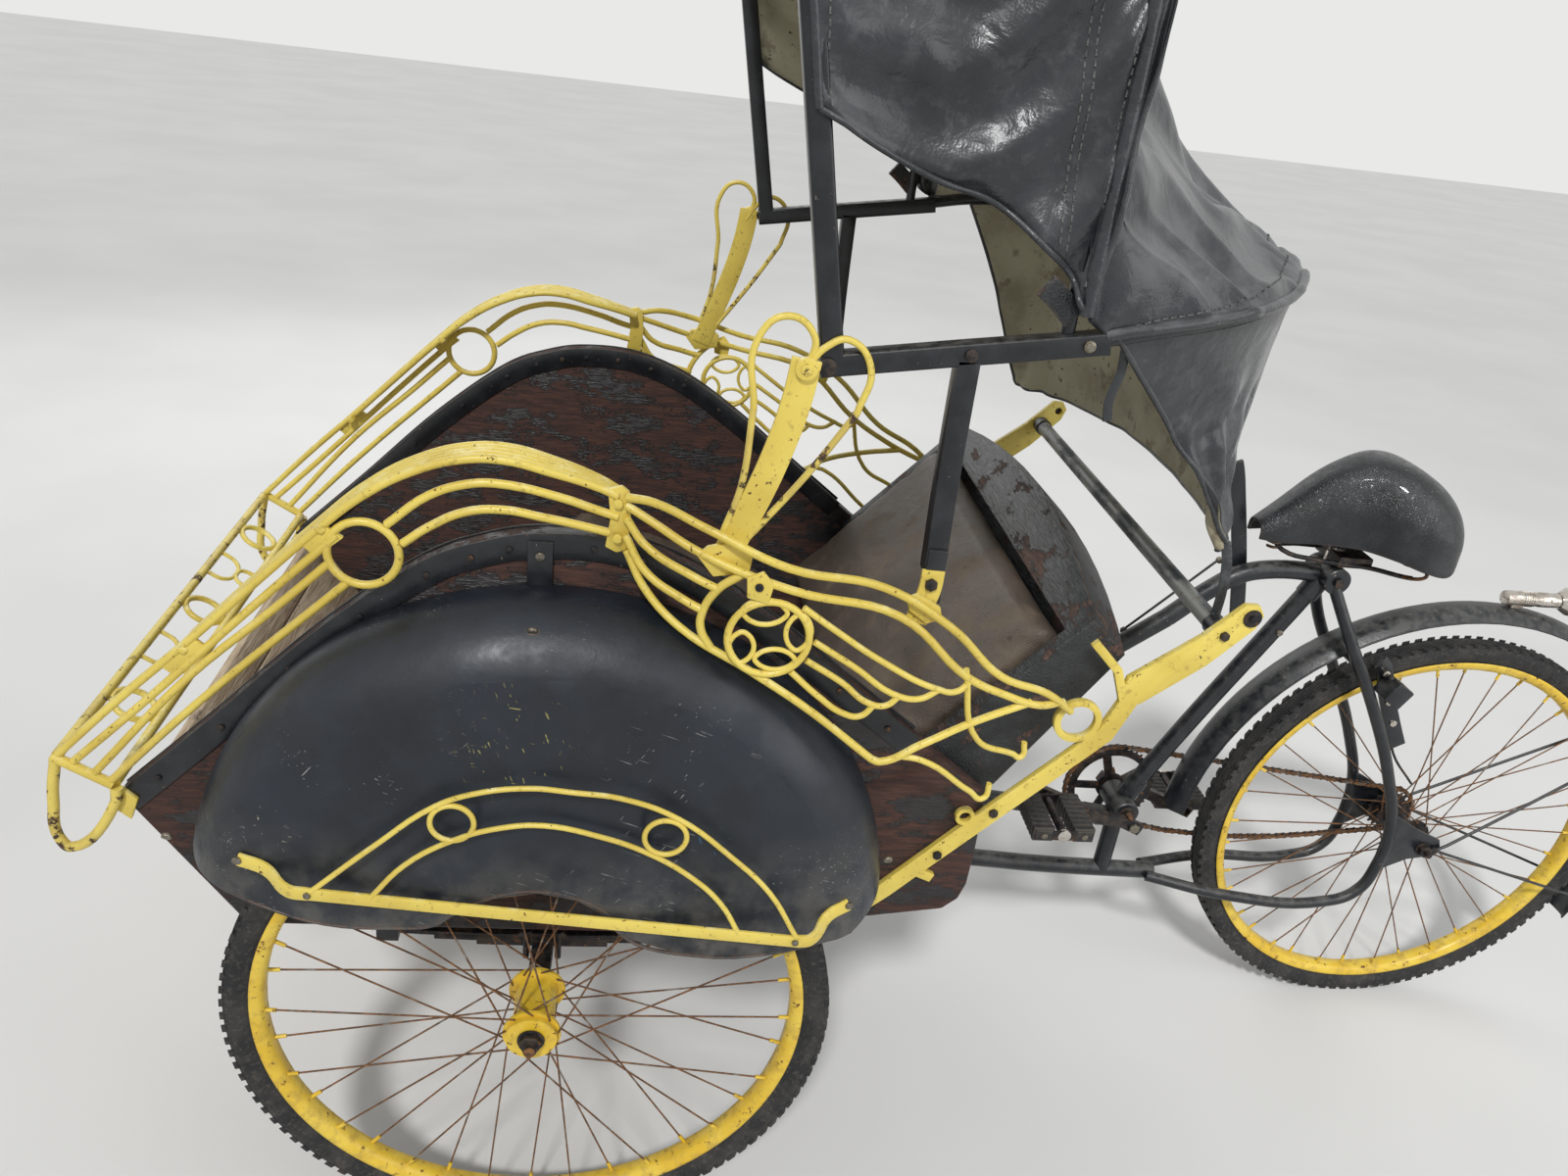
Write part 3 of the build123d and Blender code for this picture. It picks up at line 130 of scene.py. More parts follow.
def over(tree, mask, under, top):
    """One colour over another where the mask is 1."""
    sockets = {"Fac": mask}
    for socket, colour in (("Color1", under), ("Color2", top)):
        sockets[socket] = linear(colour) if isinstance(colour, str) else colour
    return add(tree, "ShaderNodeMixRGB", sockets)


def times(tree, a, b):
    return add(tree, "ShaderNodeMath", {0: a, 1: b}, operation="MULTIPLY")


def most(tree, a, b):
    return add(tree, "ShaderNodeMath", {0: a, 1: b}, operation="MAXIMUM")


def between(tree, mask, low, high):
    return add(tree, "ShaderNodeMapRange", {"Value": mask, "To Min": low, "To Max": high})


def relief(tree, shader, height, depth_mm, under=None):
    """Bump of a depth in millimetres, over another one where it is given."""
    sockets = {"Height": height, "Distance": depth_mm / 1000, "Strength": 1.0}
    if under is not None:
        sockets["Normal"] = under
    bumped = add(tree, "ShaderNodeBump", sockets)
    tree.links.new(bumped, shader.inputs["Normal"])
    return bumped


def facing_up(tree):
    """1 where the surface looks up: where dust settles, and where painted highlights go."""
    geometry = tree.nodes.new("ShaderNodeNewGeometry")
    parts = tree.nodes.new("ShaderNodeSeparateXYZ")
    tree.links.new(geometry.outputs["Normal"], parts.inputs[0])
    return add(tree, "ShaderNodeMapRange",
               {"Value": parts.outputs["Z"], "From Min": 0.1, "From Max": 0.95})


def edges(tree, width_mm, low=0.02, high=0.12):
    """1 along the piece's own edges, where paint wears first."""
    soft = add(tree, "ShaderNodeBevel", {"Radius": width_mm / 1000}, samples=4)
    geometry = tree.nodes.new("ShaderNodeNewGeometry")
    level = add(tree, "ShaderNodeVectorMath", {0: soft, 1: geometry.outputs["Normal"]},
                operation="DOT_PRODUCT")
    level = level.node.outputs["Value"]
    return add(tree, "ShaderNodeMapRange", {"Value": level, "From Min": 1 - low, "From Max": 1 - high})


def yellow_enamel():
    """Brushed alkyd enamel on mild steel: a lemon skin with soft gloss, dulled and chipped to brown."""
    made, tree, shader, place = material("yellow_enamel")
    tone = spots(tree, place, 120, 0.35, 0.7, 2)
    paint = over(tree, tone, "#E6CF62", "#D2B84F")
    # Painted highlight: paler paint (#EFE3A0) in patches on up-facing surfaces stands in for sunlight on the
    # tops of the rods
    sunlit_patches = spots(tree, place, 22, 0.45, 0.75, 5)
    paint = over(tree, times(tree, sunlit_patches, facing_up(tree)), paint, "#EFE3A0")
    grime = spots(tree, place, 9, 0.56, 0.72, 6)
    paint = over(tree, between(tree, grime, 0.0, 0.55), paint, "#9B8244")
    chips = spots(tree, place, 6.5, 0.645, 0.675, 5, 0.7)
    rust = over(tree, spots(tree, place, 3, 0.4, 0.6), "#3A2A20", "#6B4226")
    tree.links.new(over(tree, chips, paint, rust), shader.inputs["Base Color"])
    tree.links.new(between(tree, most(tree, chips, grime), 0.38, 0.8), shader.inputs["Roughness"])
    brushing = add(tree, "ShaderNodeTexNoise", {"Vector": place, "Scale": per(4), "Detail": 3.0})
    first = relief(tree, shader, brushing, 0.25)
    relief(tree, shader, between(tree, chips, 1.0, 0.0), 0.4, first)
    return made


def worn_yellow_enamel():
    """The same enamel where hands and ropes rub it: half of it is gone, down to blackened steel."""
    made, tree, shader, place = material("worn_yellow_enamel")
    paint = over(tree, spots(tree, place, 40, 0.4, 0.65), "#E2CB62", "#C9B25A")
    bare = over(tree, spots(tree, place, 5, 0.42, 0.6), "#2B231E", "#5B3B28")
    gone = spots(tree, place, 22, 0.55, 0.6, 8, 0.72)
    tree.links.new(over(tree, gone, paint, bare), shader.inputs["Base Color"])
    tree.links.new(between(tree, gone, 0.4, 0.72), shader.inputs["Roughness"])
    relief(tree, shader, between(tree, gone, 1.0, 0.0), 0.4)
    return made


def rim_enamel():
    """Deep yellow enamel on rolled steel rims, streaked with rust and road dust."""
    made, tree, shader, place = material("rim_enamel")
    paint = over(tree, spots(tree, place, 60, 0.35, 0.7), "#DDB62F", "#E7C84C")
    film = spots(tree, place, 18, 0.45, 0.72, 6)
    paint = over(tree, between(tree, film, 0.0, 0.6), paint, "#A98A46")
    rust = spots(tree, place, 11, 0.6, 0.66, 7, 0.7)
    tree.links.new(over(tree, rust, paint, "#6A3F20"), shader.inputs["Base Color"])
    tree.links.new(between(tree, most(tree, rust, film), 0.32, 0.75), shader.inputs["Roughness"])
    relief(tree, shader, rust, 0.3)
    return made


def black_enamel(name="black_enamel", paint="#15171B", dust="#6E6A62", chip="#7A4B33", share=0.665,
                 dusty=0.38):
    """Brushed black enamel on steel tube: half gloss, dust on top, chips showing primer and rust."""
    made, tree, shader, place = material(name)
    tone = over(tree, spots(tree, place, 30, 0.4, 0.7), paint, "#24262A")
    settled = times(tree, facing_up(tree), spots(tree, place, 14, 0.32, 0.75, 6))
    tone = over(tree, times(tree, settled, dusty), tone, dust)
    chips = spots(tree, place, 7, share, share + 0.02, 6, 0.72)
    rust = over(tree, spots(tree, place, 2.5, 0.4, 0.6), chip, "#A79C8C")
    tree.links.new(over(tree, chips, tone, rust), shader.inputs["Base Color"])
    tree.links.new(between(tree, most(tree, chips, settled), 0.3, 0.72), shader.inputs["Roughness"])
    brushing = add(tree, "ShaderNodeTexNoise", {"Vector": place, "Scale": per(3), "Detail": 3.0})
    first = relief(tree, shader, brushing, 0.2)
    relief(tree, shader, between(tree, chips, 1.0, 0.0), 0.35, first)
    return made


def scratches(tree, place, turn, long_mm, fine_mm, low, high):
    """Thin straight marks that run one way in the x-z plane."""
    lain = add(tree, "ShaderNodeMapping", {"Vector": place, "Rotation": (0, turn, 0)})
    lain = add(tree, "ShaderNodeMapping", {"Vector": lain, "Scale": (1 / long_mm * fine_mm, 1, 1)})
    return spots(tree, lain, fine_mm, low, high, 2, 0.5)


def fender_enamel():
    """Sprayed blue-black enamel on beaten sheet: satin, uneven, scratched to primer, dusty along its foot."""
    made, tree, shader, place = material("fender_enamel")
    tone = over(tree, spots(tree, place, 160, 0.38, 0.68, 3), "#13181F", "#1B222C")
    tone = over(tree, between(tree, spots(tree, place, 34, 0.45, 0.8, 6), 0.0, 0.35), tone, "#2A313A")
    height = tree.nodes.new("ShaderNodeSeparateXYZ")
    tree.links.new(place, height.inputs[0])
    foot = add(tree, "ShaderNodeMapRange", {"Value": height.outputs["Z"], "From Min": 0.66, "From Max": 0.5})
    dust = times(tree, foot, spots(tree, place, 45, 0.35, 0.65, 6))
    tone = over(tree, between(tree, dust, 0.0, 0.55), tone, "#75716A")
    fine = scratches(tree, place, 0.35, 60, 1.6, 0.69, 0.72)
    second = scratches(tree, place, -0.9, 45, 1.8, 0.7, 0.73)
    patch = spots(tree, place, 110, 0.5, 0.62, 2)
    marks = times(tree, most(tree, fine, second), patch)
    tone = over(tree, marks, tone, "#8E8F8C")
    # A scrape that left yellow enamel, and a dab of blue
    scribble = scratches(tree, place, 1.2, 34, 2.6, 0.66, 0.69)
    second_scribble = scratches(tree, place, 0.1, 42, 2.4, 0.68, 0.71)
    flake = times(tree, most(tree, scribble, second_scribble), spots(tree, place, 20, 0.47, 0.53, 4))
    for spot, reach, colour in ((at(1414, 480, 770), 0.075, "#A89F5C"),
                                (at(1205, 470, 655), 0.028, "#2C7FB0"),
                                (at(1675, 470, 640), 0.04, "#B7AD97")):
        away = add(tree, "ShaderNodeVectorMath", {0: place, 1: spot},
                   operation="DISTANCE").node.outputs["Value"]
        near = add(tree, "ShaderNodeMapRange", {"Value": away, "From Min": reach, "From Max": reach * 0.25})
        tone = over(tree, times(tree, near, flake), tone, colour)
    chips = times(tree, edges(tree, 4), spots(tree, place, 9, 0.42, 0.5, 5))
    tree.links.new(over(tree, chips, tone, "#5D4637"), shader.inputs["Base Color"])
    haze = spots(tree, place, 70, 0.35, 0.7, 5)
    tree.links.new(between(tree, most(tree, dust, haze), 0.33, 0.6), shader.inputs["Roughness"])
    dents = add(tree, "ShaderNodeTexNoise", {"Vector": place, "Scale": per(140), "Detail": 1.0})
    first = relief(tree, shader, dents, 5.0)
    peel = add(tree, "ShaderNodeTexNoise", {"Vector": place, "Scale": per(5), "Detail": 3.0})
    relief(tree, shader, peel, 0.18, first)
    return made


def rusty_steel():
    """Plain steel wire and links rusted brown all over, with no gloss left."""
    made, tree, shader, place = material("rusty_steel")
    tone = over(tree, spots(tree, place, 8, 0.35, 0.7, 5), "#57402E", "#8A5E38")
    tone = over(tree, spots(tree, place, 25, 0.55, 0.7, 4), tone, "#8B8378")
    tree.links.new(tone, shader.inputs["Base Color"])
    shader.inputs["Roughness"].default_value = 0.68
    shader.inputs["Metallic"].default_value = 0.35
    relief(tree, shader, add(tree, "ShaderNodeTexNoise", {"Vector": place, "Scale": per(1.5)}), 0.2)
    return made


def dark_steel():
    """Greasy forged steel: near black, a dull shine, brown where it is dry."""
    made, tree, shader, place = material("dark_steel")
    tone = over(tree, spots(tree, place, 12, 0.4, 0.65, 6), "#26262A", "#4A4038")
    tone = over(tree, spots(tree, place, 7, 0.62, 0.68, 6), tone, "#7B5236")
    tree.links.new(tone, shader.inputs["Base Color"])
    shader.inputs["Metallic"].default_value = 0.6
    tree.links.new(between(tree, spots(tree, place, 6, 0.35, 0.7), 0.34, 0.66), shader.inputs["Roughness"])
    relief(tree, shader, add(tree, "ShaderNodeTexNoise", {"Vector": place, "Scale": per(2.2), "Detail": 4.0}),
           0.25)
    return made


def pitted_chrome():
    """Old chrome plate: bright, with brown pits where it has lifted."""
    made, tree, shader, place = material("pitted_chrome")
    pits = spots(tree, place, 3.2, 0.6, 0.65, 4)
    film = spots(tree, place, 20, 0.4, 0.7, 5)
    tone = over(tree, film, "#C9C4BC", "#A0958A")
    tree.links.new(over(tree, pits, tone, "#6B4B36"), shader.inputs["Base Color"])
    tree.links.new(between(tree, pits, 1.0, 0.1), shader.inputs["Metallic"])
    tree.links.new(between(tree, most(tree, film, pits), 0.14, 0.5), shader.inputs["Roughness"])
    relief(tree, shader, between(tree, pits, 1.0, 0.0), 0.2)
    return made


def worn_grey_paint():
    """Grey paint on the push bar, rubbed through by hands to dull steel."""
    made, tree, shader, place = material("worn_grey_paint")
    rubbed = spots(tree, place, 30, 0.42, 0.55, 7, 0.7, (1, 0.35, 1))
    tone = over(tree, rubbed, "#3C4247", "#83847F")
    tone = over(tree, spots(tree, place, 6, 0.63, 0.66, 5), tone, "#6B4A36")
    tree.links.new(tone, shader.inputs["Base Color"])
    tree.links.new(between(tree, rubbed, 0.55, 0.4), shader.inputs["Roughness"])
    relief(tree, shader, rubbed, 0.15)
    return made


def tyre_rubber():
    """Vulcanised black rubber with grey bloom and road dust in its tread."""
    made, tree, shader, place = material("tyre_rubber")
    tone = over(tree, spots(tree, place, 35, 0.38, 0.7, 6), "#16171A", "#34322F")
    grip = spots(tree, place, 6, 0.5, 0.7, 4)
    tree.links.new(over(tree, between(tree, grip, 0.0, 0.4), tone, "#5E584F"), shader.inputs["Base Color"])
    shader.inputs["Roughness"].default_value = 0.74
    relief(tree, shader, grip, 0.2)
    return made


def block_rubber():
    """Moulded pedal rubber, worn grey on its corners."""
    made, tree, shader, place = material("block_rubber")
    tone = over(tree, spots(tree, place, 9, 0.4, 0.65, 5), "#1D1D1E", "#3B3833")
    tree.links.new(over(tree, edges(tree, 3), tone, "#5B564E"), shader.inputs["Base Color"])
    shader.inputs["Roughness"].default_value = 0.7
    relief(tree, shader, spots(tree, place, 2.5, 0.35, 0.7), 0.25)
    return made


def saddle_leather():
    """Thick vegetable-tanned hide, dyed black and polished by riding: deep gloss, with pale flecks on its
    upper faces painted as highlights.
    """
    made, tree, shader, place = material("saddle_leather")
    tone = over(tree, spots(tree, place, 30, 0.4, 0.7, 4), "#101216", "#22252A")
    # Painted highlights: pale flecks (#8C8B88) on up-facing surfaces stand in for glints of light on the
    # polished hide
    flecks = spots(tree, place, 3.2, 0.67, 0.72, 3)
    tone = over(tree, times(tree, flecks, facing_up(tree)), tone, "#8C8B88")
    tone = over(tree, times(tree, edges(tree, 5), spots(tree, place, 8, 0.4, 0.6)), tone, "#5A4A3C")
    tree.links.new(tone, shader.inputs["Base Color"])
    tree.links.new(between(tree, spots(tree, place, 12, 0.3, 0.75, 6), 0.26, 0.52),
                   shader.inputs["Roughness"])
    shader.inputs["Coat Weight"].default_value = 0.15
    grain = add(tree, "ShaderNodeTexVoronoi", {"Vector": place, "Scale": per(2.4)},
                feature="DISTANCE_TO_EDGE")
    grain = add(tree, "ShaderNodeMapRange", {"Value": grain, "From Max": 0.25})
    relief(tree, shader, grain, 0.22)
    return made


def hood_leathercloth():
    """Coated cotton drill for hoods: charcoal, a soft sheen, weave through the coating, dust in folds."""
    made, tree, shader, place = material("hood_leathercloth")
    tone = over(tree, spots(tree, place, 130, 0.35, 0.7, 4), "#26282B", "#34363A")
    rubbed = spots(tree, place, 24, 0.5, 0.74, 7, 0.7)
    tone = over(tree, between(tree, rubbed, 0.0, 0.5), tone, "#5D5F61")
    settled = times(tree, facing_up(tree), spots(tree, place, 60, 0.3, 0.75, 6))
    tone = over(tree, between(tree, settled, 0.0, 0.55), tone, "#8B8D8E")
    tree.links.new(tone, shader.inputs["Base Color"])
    tree.links.new(between(tree, most(tree, rubbed, settled), 0.27, 0.5), shader.inputs["Roughness"])
    shader.inputs["Sheen Weight"].default_value = 0.12
    shader.inputs["Sheen Roughness"].default_value = 0.4
    # Threads stand 1 mm apart; they are drawn 2.5 mm apart to show at all
    weave = add(tree, "ShaderNodeTexVoronoi", {"Vector": place, "Scale": per(2.5)}, feature="F1")
    first = relief(tree, shader, weave, 0.12)
    wrinkles = add(tree, "ShaderNodeTexNoise",
                   {"Vector": place, "Scale": per(38), "Detail": 4.0, "Roughness": 0.5, "Distortion": 0.6})
    relief(tree, shader, wrinkles, 3.2, first)
    return made


def cream_lining():
    """The cloth's cotton back, cream once, now stained brown by water and grey by dust."""
    made, tree, shader, place = material("cream_lining")
    tone = over(tree, spots(tree, place, 90, 0.4, 0.65, 5), "#B3AD94", "#98917A")
    stain = spots(tree, place, 50, 0.55, 0.63, 7, 0.65)
    tone = over(tree, between(tree, stain, 0.0, 0.6), tone, "#6A5F4C")
    tone = over(tree, spots(tree, place, 9, 0.64, 0.69, 5), tone, "#463F35")
    tree.links.new(tone, shader.inputs["Base Color"])
    shader.inputs["Roughness"].default_value = 0.92
    weave = add(tree, "ShaderNodeTexVoronoi", {"Vector": place, "Scale": per(2.2)}, feature="F1")
    relief(tree, shader, weave, 0.3)
    return made


def seat_vinyl():
    """Embossed seat vinyl: taupe, dull, rubbed tan and dusty where riders slide."""
    made, tree, shader, place = material("seat_vinyl")
    tone = over(tree, spots(tree, place, 110, 0.35, 0.7, 4), "#51473F", "#5E5349")
    dust = spots(tree, place, 60, 0.46, 0.7, 7, 0.65)
    tone = over(tree, between(tree, dust, 0.0, 0.5), tone, "#86755F")
    tone = over(tree, spots(tree, place, 12, 0.64, 0.7, 5), tone, "#3F362F")
    tree.links.new(tone, shader.inputs["Base Color"])
    tree.links.new(between(tree, dust, 0.46, 0.74), shader.inputs["Roughness"])
    grain = add(tree, "ShaderNodeTexVoronoi", {"Vector": place, "Scale": per(2.6)},
                feature="DISTANCE_TO_EDGE")
    first = relief(tree, shader, add(tree, "ShaderNodeMapRange", {"Value": grain, "From Max": 0.3}), 0.3)
    slack = add(tree, "ShaderNodeTexNoise", {"Vector": place, "Scale": per(70),
                                             "Detail": 3.0, "Distortion": 0.5})
    relief(tree, shader, slack, 4.0, first)
    return made


def wood(name, bare, dark, paint, along, share):
    """Boards with long grain, and old paint that flakes off them in patches."""
    made, tree, shader, place = material(name)
    grain = spots(tree, place, 7, 0.35, 0.65, 6, 0.6, along)
    tone = over(tree, grain, bare, dark)
    fibre = spots(tree, place, 2.4, 0.4, 0.68, 3, 0.5, along)
    tone = over(tree, between(tree, fibre, 0.0, 0.5), tone, dark)
    left = spots(tree, place, 42, share, share + 0.035, 9, 0.74, tuple(0.4 + 0.6 * s for s in along))
    old = over(tree, spots(tree, place, 20, 0.4, 0.7), paint[0], paint[1])
    tone = over(tree, left, tone, old)
    tree.links.new(over(tree, times(tree, edges(tree, 4), grain), tone, bare), shader.inputs["Base Color"])
    tree.links.new(between(tree, left, 0.85, 0.45), shader.inputs["Roughness"])
    first = relief(tree, shader, fibre, 0.5)
    relief(tree, shader, left, 0.8, first)
    return made


def brass_screw():
    """Turned brass and zinc screw heads, dulled."""
    made, tree, shader, place = material("brass_screw")
    tree.links.new(over(tree, spots(tree, place, 2, 0.4, 0.6), "#8E8A80", "#6C6353"),
                   shader.inputs["Base Color"])
    shader.inputs["Metallic"].default_value = 0.9
    shader.inputs["Roughness"].default_value = 0.42
    return made


def stitching():
    """Waxed black thread, hardly paler than the cloth it sews."""
    made, tree, shader, place = material("stitching")
    tree.links.new(over(tree, spots(tree, place, 3, 0.4, 0.6), "#6F6F6C", "#4B4B4A"),
                   shader.inputs["Base Color"])
    shader.inputs["Roughness"].default_value = 0.8
    return made


YELLOW = yellow_enamel()
WORN_YELLOW = worn_yellow_enamel()
RIM = rim_enamel()
BLACK = black_enamel()
FRAME_BLACK = black_enamel("frame_enamel", "#15181D", "#7C7A73", "#7A5138", 0.65, 0.5)
FENDER = fender_enamel()
RUST = rusty_steel()
DARK_STEEL = dark_steel()
CHROME = pitted_chrome()
GREY = worn_grey_paint()
TYRE = tyre_rubber()
PEDAL_RUBBER = block_rubber()
LEATHER = saddle_leather()
HOOD = hood_leathercloth()
LINING = cream_lining()
VINYL = seat_vinyl()
SCREW = brass_screw()
THREAD = stitching()
# Teak panels, brown-black paint flaking off red wood; the grain runs along x
PANEL_WOOD = wood("flaking_panel_wood", "#4E3128", "#32211C", ("#191718", "#262223"), (0.12, 1, 1), 0.5)
# The seat back, grey-brown paint over the same wood
BACK_WOOD = wood("flaking_back_board", "#6A5147", "#453630", ("#1F2224", "#2C2F31"), (1, 0.12, 1), 0.42)
# The boards of the floor and toe: sun-bleached plywood, grain along y, hardly any paint left
PALE_WOOD = wood("bleached_plywood", "#CFBDA4", "#A48E76", ("#8F806C", "#6B5D4E"), (1, 0.1, 1), 0.62)


# Ways of making pieces

def off():
    """Nothing selected, and object mode, so that an operator acts on the new piece alone."""
    if bpy.context.object is not None and bpy.context.object.mode != "OBJECT":
        bpy.ops.object.mode_set(mode="OBJECT")
    bpy.ops.object.select_all(action="DESELECT")


def only(piece):
    off()
    piece.select_set(True)
    bpy.context.view_layer.objects.active = piece


def editing(choice="SELECT"):
    """Edit mode on the active piece, with all of it selected, or none of it."""
    bpy.ops.object.mode_set(mode="EDIT")
    bpy.ops.mesh.select_all(action=choice)


def facing_out():
    """All faces of the piece in edit mode turned outwards, and back to object mode."""
    bpy.ops.mesh.select_all(action="SELECT")
    bpy.ops.mesh.normals_make_consistent(inside=False)
    bpy.ops.object.mode_set(mode="OBJECT")


def settle():
    """The new piece's place, turn and size go into its mesh."""
    bpy.ops.object.transform_apply(location=True, rotation=True, scale=True)


def loop_of(places, fill="NOTHING"):
    """A closed loop of edges, or one face, with its corners at these places."""
    off()
    bpy.ops.mesh.primitive_circle_add(vertices=len(places), fill_type=fill)
    loop = bpy.context.object
    for corner, place in zip(loop.data.vertices, places):
        corner.co = at(*place)
    loop.location = (0, 0, 0)
    return loop


def bent(keys, handles, turns):
    """A curve through its keys, smooth or straight between them."""
    off()
    bpy.ops.curve.primitive_bezier_curve_add(radius=1, location=(0, 0, 0))
    path = bpy.context.object
    points = path.data.splines[0].bezier_points
    points.add(len(keys) - 2)
    for point, key in zip(points, keys):
        point.handle_left_type = point.handle_right_type = handles
        point.co = at(*key)
    path.data.resolution_u = turns
    return path


def twin_of(piece):
    """A copy of a piece with a mesh of its own, and none of the frame's marks on it."""
    only(piece)
    bpy.ops.object.duplicate()
    twin = bpy.context.object
    for key in list(twin.keys()):
        del twin[key]
    return twin


def applied(piece, kind, **settings):
    """One modifier, with its settings, applied to the piece."""
    only(piece)
    step = piece.modifiers.new(kind.lower(), kind)
    for name, value in settings.items():
        setattr(step, name, value)
    bpy.ops.object.modifier_apply(modifier=step.name)
    return piece


def smooth_by_angle(piece, degrees=35):
    only(piece)
    bpy.ops.object.shade_smooth_by_angle(angle=math.radians(degrees))
    return piece


def painted(piece, finish):
    piece.data.materials.clear()
    piece.data.materials.append(finish)
    return piece


def joined(name, parts):
    """Several parts made one piece, with each its own finish."""
    off()
    for part in parts:
        part.select_set(True)
    bpy.context.view_layer.objects.active = parts[0]
    if len(parts) > 1:
        bpy.ops.object.join()
    parts[0].name = name
    parts[0].data.name = name
    return parts[0]


def placed(piece, body, *nodes):
    """The piece rides on a body, and stands for the solids that it shows."""
    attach(piece, body)
    if nodes:
        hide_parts(*nodes)
    return piece


def rod(keys, thick, finish, closed=False, turns=5, ring=3, straight=False):
    """A round bar bent through its keys."""
    bar = bent(keys, "VECTOR" if straight else "AUTO", 1 if straight else turns)
    bar.data.splines[0].use_cyclic_u = closed
    bar.data.bevel_depth = thick / 2000
    bar.data.bevel_resolution = ring
    bar.data.use_fill_caps = not closed
    bpy.ops.object.convert(target="MESH")
    return painted(bpy.context.object, finish)


def ring(x, y, z, radius, thick, finish, lean=(90, 0, 0)):
    """A ring bent from round bar, of this outer radius, lying in the x-z plane unless it leans."""
    off()
    bpy.ops.mesh.primitive_torus_add(major_radius=(radius - thick / 2) / 1000, minor_radius=thick / 2000,
                                     major_segments=36, minor_segments=8, location=at(x, y, z),
                                     rotation=[math.radians(turn) for turn in lean])
    settle()
    bpy.ops.object.shade_smooth()
    return painted(bpy.context.object, finish)


def turned(section, x, y, z, finish, steps=72, degrees=40):
    """A body turned round a line along Y, from a closed section of (radius, across)."""
    body = loop_of([(x + radius, y + across, z) for radius, across in section])
    editing()
    bpy.ops.mesh.spin(steps=steps, angle=2 * math.pi, center=at(x, y, z), axis=(0, 1, 0))
    bpy.ops.mesh.select_all(action="SELECT")
    bpy.ops.mesh.remove_doubles(threshold=1e-5)
    facing_out()
    return smooth_by_angle(painted(body, finish), degrees)


def block(x, y, z, finish, soft=1.5, turn=(0, 0, 0), segments=2):
    """A block between (low, high) along each axis, its edges rounded, turned in degrees about its middle."""
    off()
    middle = at(*[(low + high) / 2 for low, high in (x, y, z)])
    bpy.ops.mesh.primitive_cube_add(size=1, location=middle, rotation=[math.radians(t) for t in turn],
                                    scale=[(high - low) / 1000 for low, high in (x, y, z)])
    settle()
    piece = bpy.context.object
    editing()
    bpy.ops.mesh.bevel(offset=soft / 1000, segments=segments)
    bpy.ops.object.mode_set(mode="OBJECT")
    return smooth_by_angle(painted(piece, finish))


def knob(x, y, z, radius, high, finish, sides=20, turn=(90, 0, 0), soft=0.8):
    """A short round or six-sided head, such as a bolt's, its far edge rounded."""
    off()
    bpy.ops.mesh.primitive_cylinder_add(vertices=sides, radius=radius / 1000, depth=high / 1000,
                                        location=at(x, y, z), rotation=[math.radians(t) for t in turn])
    settle()
    head = bpy.context.object
    editing()
    bpy.ops.mesh.bevel(offset=soft / 1000, segments=2)
    bpy.ops.object.mode_set(mode="OBJECT")
    return smooth_by_angle(painted(head, finish), 30)


def dressed(node, finish, soft=1.2, degrees=30, segments=2):
    """A copy of a solid with its edges rounded, as the real ones are."""
    copy = twin_of(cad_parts[node])
    copy.hide_render = False
    copy.hide_viewport = False
    only(copy)
    editing()
    bpy.ops.mesh.remove_doubles(threshold=1e-5)
    bpy.ops.mesh.dissolve_limited(angle_limit=math.radians(2))
    bpy.ops.object.mode_set(mode="OBJECT")
    if soft:
        applied(copy, "BEVEL", width=soft / 1000, segments=segments, limit_method="ANGLE",
                angle_limit=math.radians(degrees), harden_normals=False)
    painted(copy, finish)
    return smooth_by_angle(copy, degrees)


def mirrored(piece, name, body, *nodes):
    """The right-hand twin of a left-hand piece, with a mesh of its own."""
    twin = twin_of(piece)
    twin.name = name
    twin.data.name = name
    for corner in twin.data.vertices:
        corner.co.y = -corner.co.y
    editing()
    bpy.ops.mesh.flip_normals()
    bpy.ops.object.mode_set(mode="OBJECT")
    return placed(twin, body, *nodes)


def table_at(table, x):
    """Value at x of a table of (x, value) rows, straight between the rows."""
    if x <= table[0][0]:
        return table[0][1]
    for (x0, v0), (x1, v1) in zip(table, table[1:]):
        if x <= x1:
            return v0 + (v1 - v0) * (x - x0) / (x1 - x0)
    return table[-1][1]


# Side ironwork. Its plan: x, and how far out it stands there
SIDE_PLAN = [(600, 376.8), (805, 376.8), (850, 404), (980, 440), (1160, 447), (1240, 425), (1330, 378),
             (1920, 375)]


def on_side(keys):
    return [(x, table_at(SIDE_PLAN, x), z) for x, z in keys]


BAND_SPREAD = [(1327, 4.5), (1380, 8.5), (1420, 9.5), (1560, 9.5), (1660, 7.5), (1759, 4.0), (1908, 4.5)]
BAND = [(1327, 1006), (1345, 1013), (1395, 1026), (1440, 1035), (1480, 1033), (1530, 1016), (1580, 985),
        (1635, 935), (1690, 880), (1759, 810), (1838, 733), (1908, 660)]


def side_plate(outline, y, thick, finish):
    """A flat iron plate in the x-z plane, cut to an outline, its edges filed round."""
    plate = loop_of([(x, y, z) for x, z in outline], "NGON")
    editing()
    bpy.ops.mesh.extrude_region_move(TRANSFORM_OT_translate={"value": (0, thick / 1000, 0)})
    facing_out()
    applied(plate, "BEVEL", width=1.2 / 1000, segments=2, limit_method="ANGLE")
    return smooth_by_angle(painted(plate, finish))


